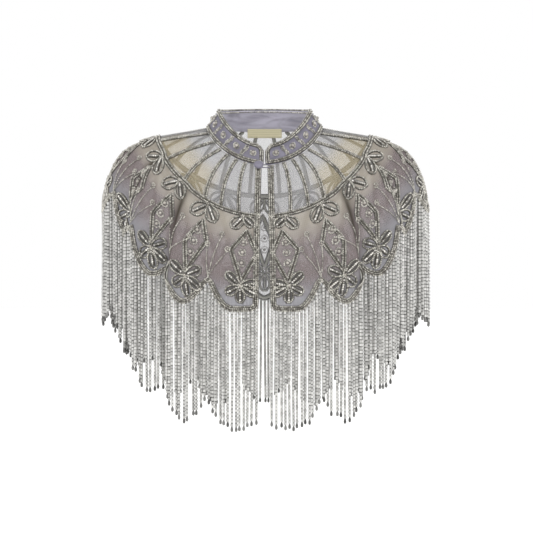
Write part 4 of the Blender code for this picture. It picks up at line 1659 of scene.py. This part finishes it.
class OBJECT_OT_cape_stage(bpy.types.Operator):
    """Adds the pale floor, the soft studio light and the camera"""

    bl_idname = "object.cape_stage"
    bl_label = "Add Stage"

    def execute(self, context):
        settings = settings_of("cape_stage")
        scene = context.scene
        count, radius = 96, 9.0
        verts = [(radius * math.cos(a), radius * math.sin(a), -0.46) for a in np.linspace(0, 2 * math.pi, count + 1)[:-1]]
        verts.append((0, 0, -0.46))
        faces = [(k, (k + 1) % count, count) for k in range(count)]
        mesh = bpy.data.meshes.new("studio_floor")
        mesh.from_pydata(verts, [], faces)
        new_object("studio_floor", mesh, studio_paper(0.3))

        world = bpy.data.worlds.new("soft_studio")
        scene.world = world
        world.use_nodes = True
        sky = world.node_tree.nodes["Background"].inputs
        sky["Color"].default_value = (1, 1, 1, 1)
        sky["Strength"].default_value = 1.0 * settings.light

        for name, place, size, power in (
            ("key_softbox", (-1.1, -1.7, 1.5), 1.2, 16.0),
            ("fill_softbox", (1.6, -1.4, 0.5), 1.4, 7.0),
            ("glint_softbox", (0.4, -1.9, 0.9), 0.25, 5.0),
        ):
            light = bpy.data.lights.new(name, "AREA")
            light.shape = "SQUARE"
            light.size = size
            light.energy = power * settings.light
            lamp = bpy.data.objects.new(name, light)
            lamp.location = place
            aim = Vector((0, 0, -0.15)) - Vector(place)
            lamp.rotation_euler = aim.to_track_quat("-Z", "Y").to_euler()
            scene.collection.objects.link(lamp)

        camera = bpy.data.cameras.new("camera")
        camera.sensor_fit = "HORIZONTAL"
        camera.sensor_width = 36
        camera.lens = 36 * 1600 / 533
        camera.clip_start = 0.05
        camera.clip_end = 50
        eye = bpy.data.objects.new("camera", camera)
        eye.location = (0.0024, -settings.distance, -0.169)
        eye.rotation_euler = (math.pi / 2, 0, 0)
        scene.collection.objects.link(eye)
        scene.camera = eye
        scene.view_settings.view_transform = "Standard"
        scene.view_settings.look = "None"
        return {"FINISHED"}


class VIEW3D_PT_cape(bpy.types.Panel):
    """Lists the settings and the pieces of the cape"""

    bl_idname = "VIEW3D_PT_cape"
    bl_label = "Beaded Fringe Cape"
    bl_space_type = "VIEW_3D"
    bl_region_type = "UI"
    bl_category = "Cape"

    def draw(self, context):
        for name, _ in SETTINGS:
            box = self.layout.box()
            settings = getattr(context.scene, name)
            for prop in settings.bl_rna.properties:
                if prop.identifier not in {"rna_type", "name"}:
                    box.prop(settings, prop.identifier)
        for operator in OPERATORS:
            self.layout.operator(operator.bl_idname)


SETTINGS = (
    ("cape_net", CapeNetSettings),
    ("cape_satin", CapeSatinSettings),
    ("cape_beads", CapeBeadSettings),
    ("cape_fringe", CapeFringeSettings),
    ("cape_stage", CapeStageSettings),
)
OPERATORS = (
    OBJECT_OT_cape_net,
    OBJECT_OT_cape_collar,
    OBJECT_OT_cape_label,
    OBJECT_OT_cape_button,
    OBJECT_OT_cape_beadwork,
    OBJECT_OT_cape_fringe,
    OBJECT_OT_cape_stage,
)


def register():
    for name, group in SETTINGS:
        bpy.utils.register_class(group)
        setattr(bpy.types.Scene, name, bpy.props.PointerProperty(type=group))
    for made in (*OPERATORS, VIEW3D_PT_cape):
        bpy.utils.register_class(made)


def unregister():
    for made in (VIEW3D_PT_cape, *reversed(OPERATORS)):
        bpy.utils.unregister_class(made)
    for name, group in reversed(SETTINGS):
        delattr(bpy.types.Scene, name)
        bpy.utils.unregister_class(group)


def main():
    register()
    bpy.ops.object.cape_net()
    bpy.ops.object.cape_collar()
    bpy.ops.object.cape_label()
    bpy.ops.object.cape_button()
    bpy.ops.object.cape_beadwork()
    bpy.ops.object.cape_fringe()
    bpy.ops.object.cape_stage()


if __name__ == "__main__":
    main()
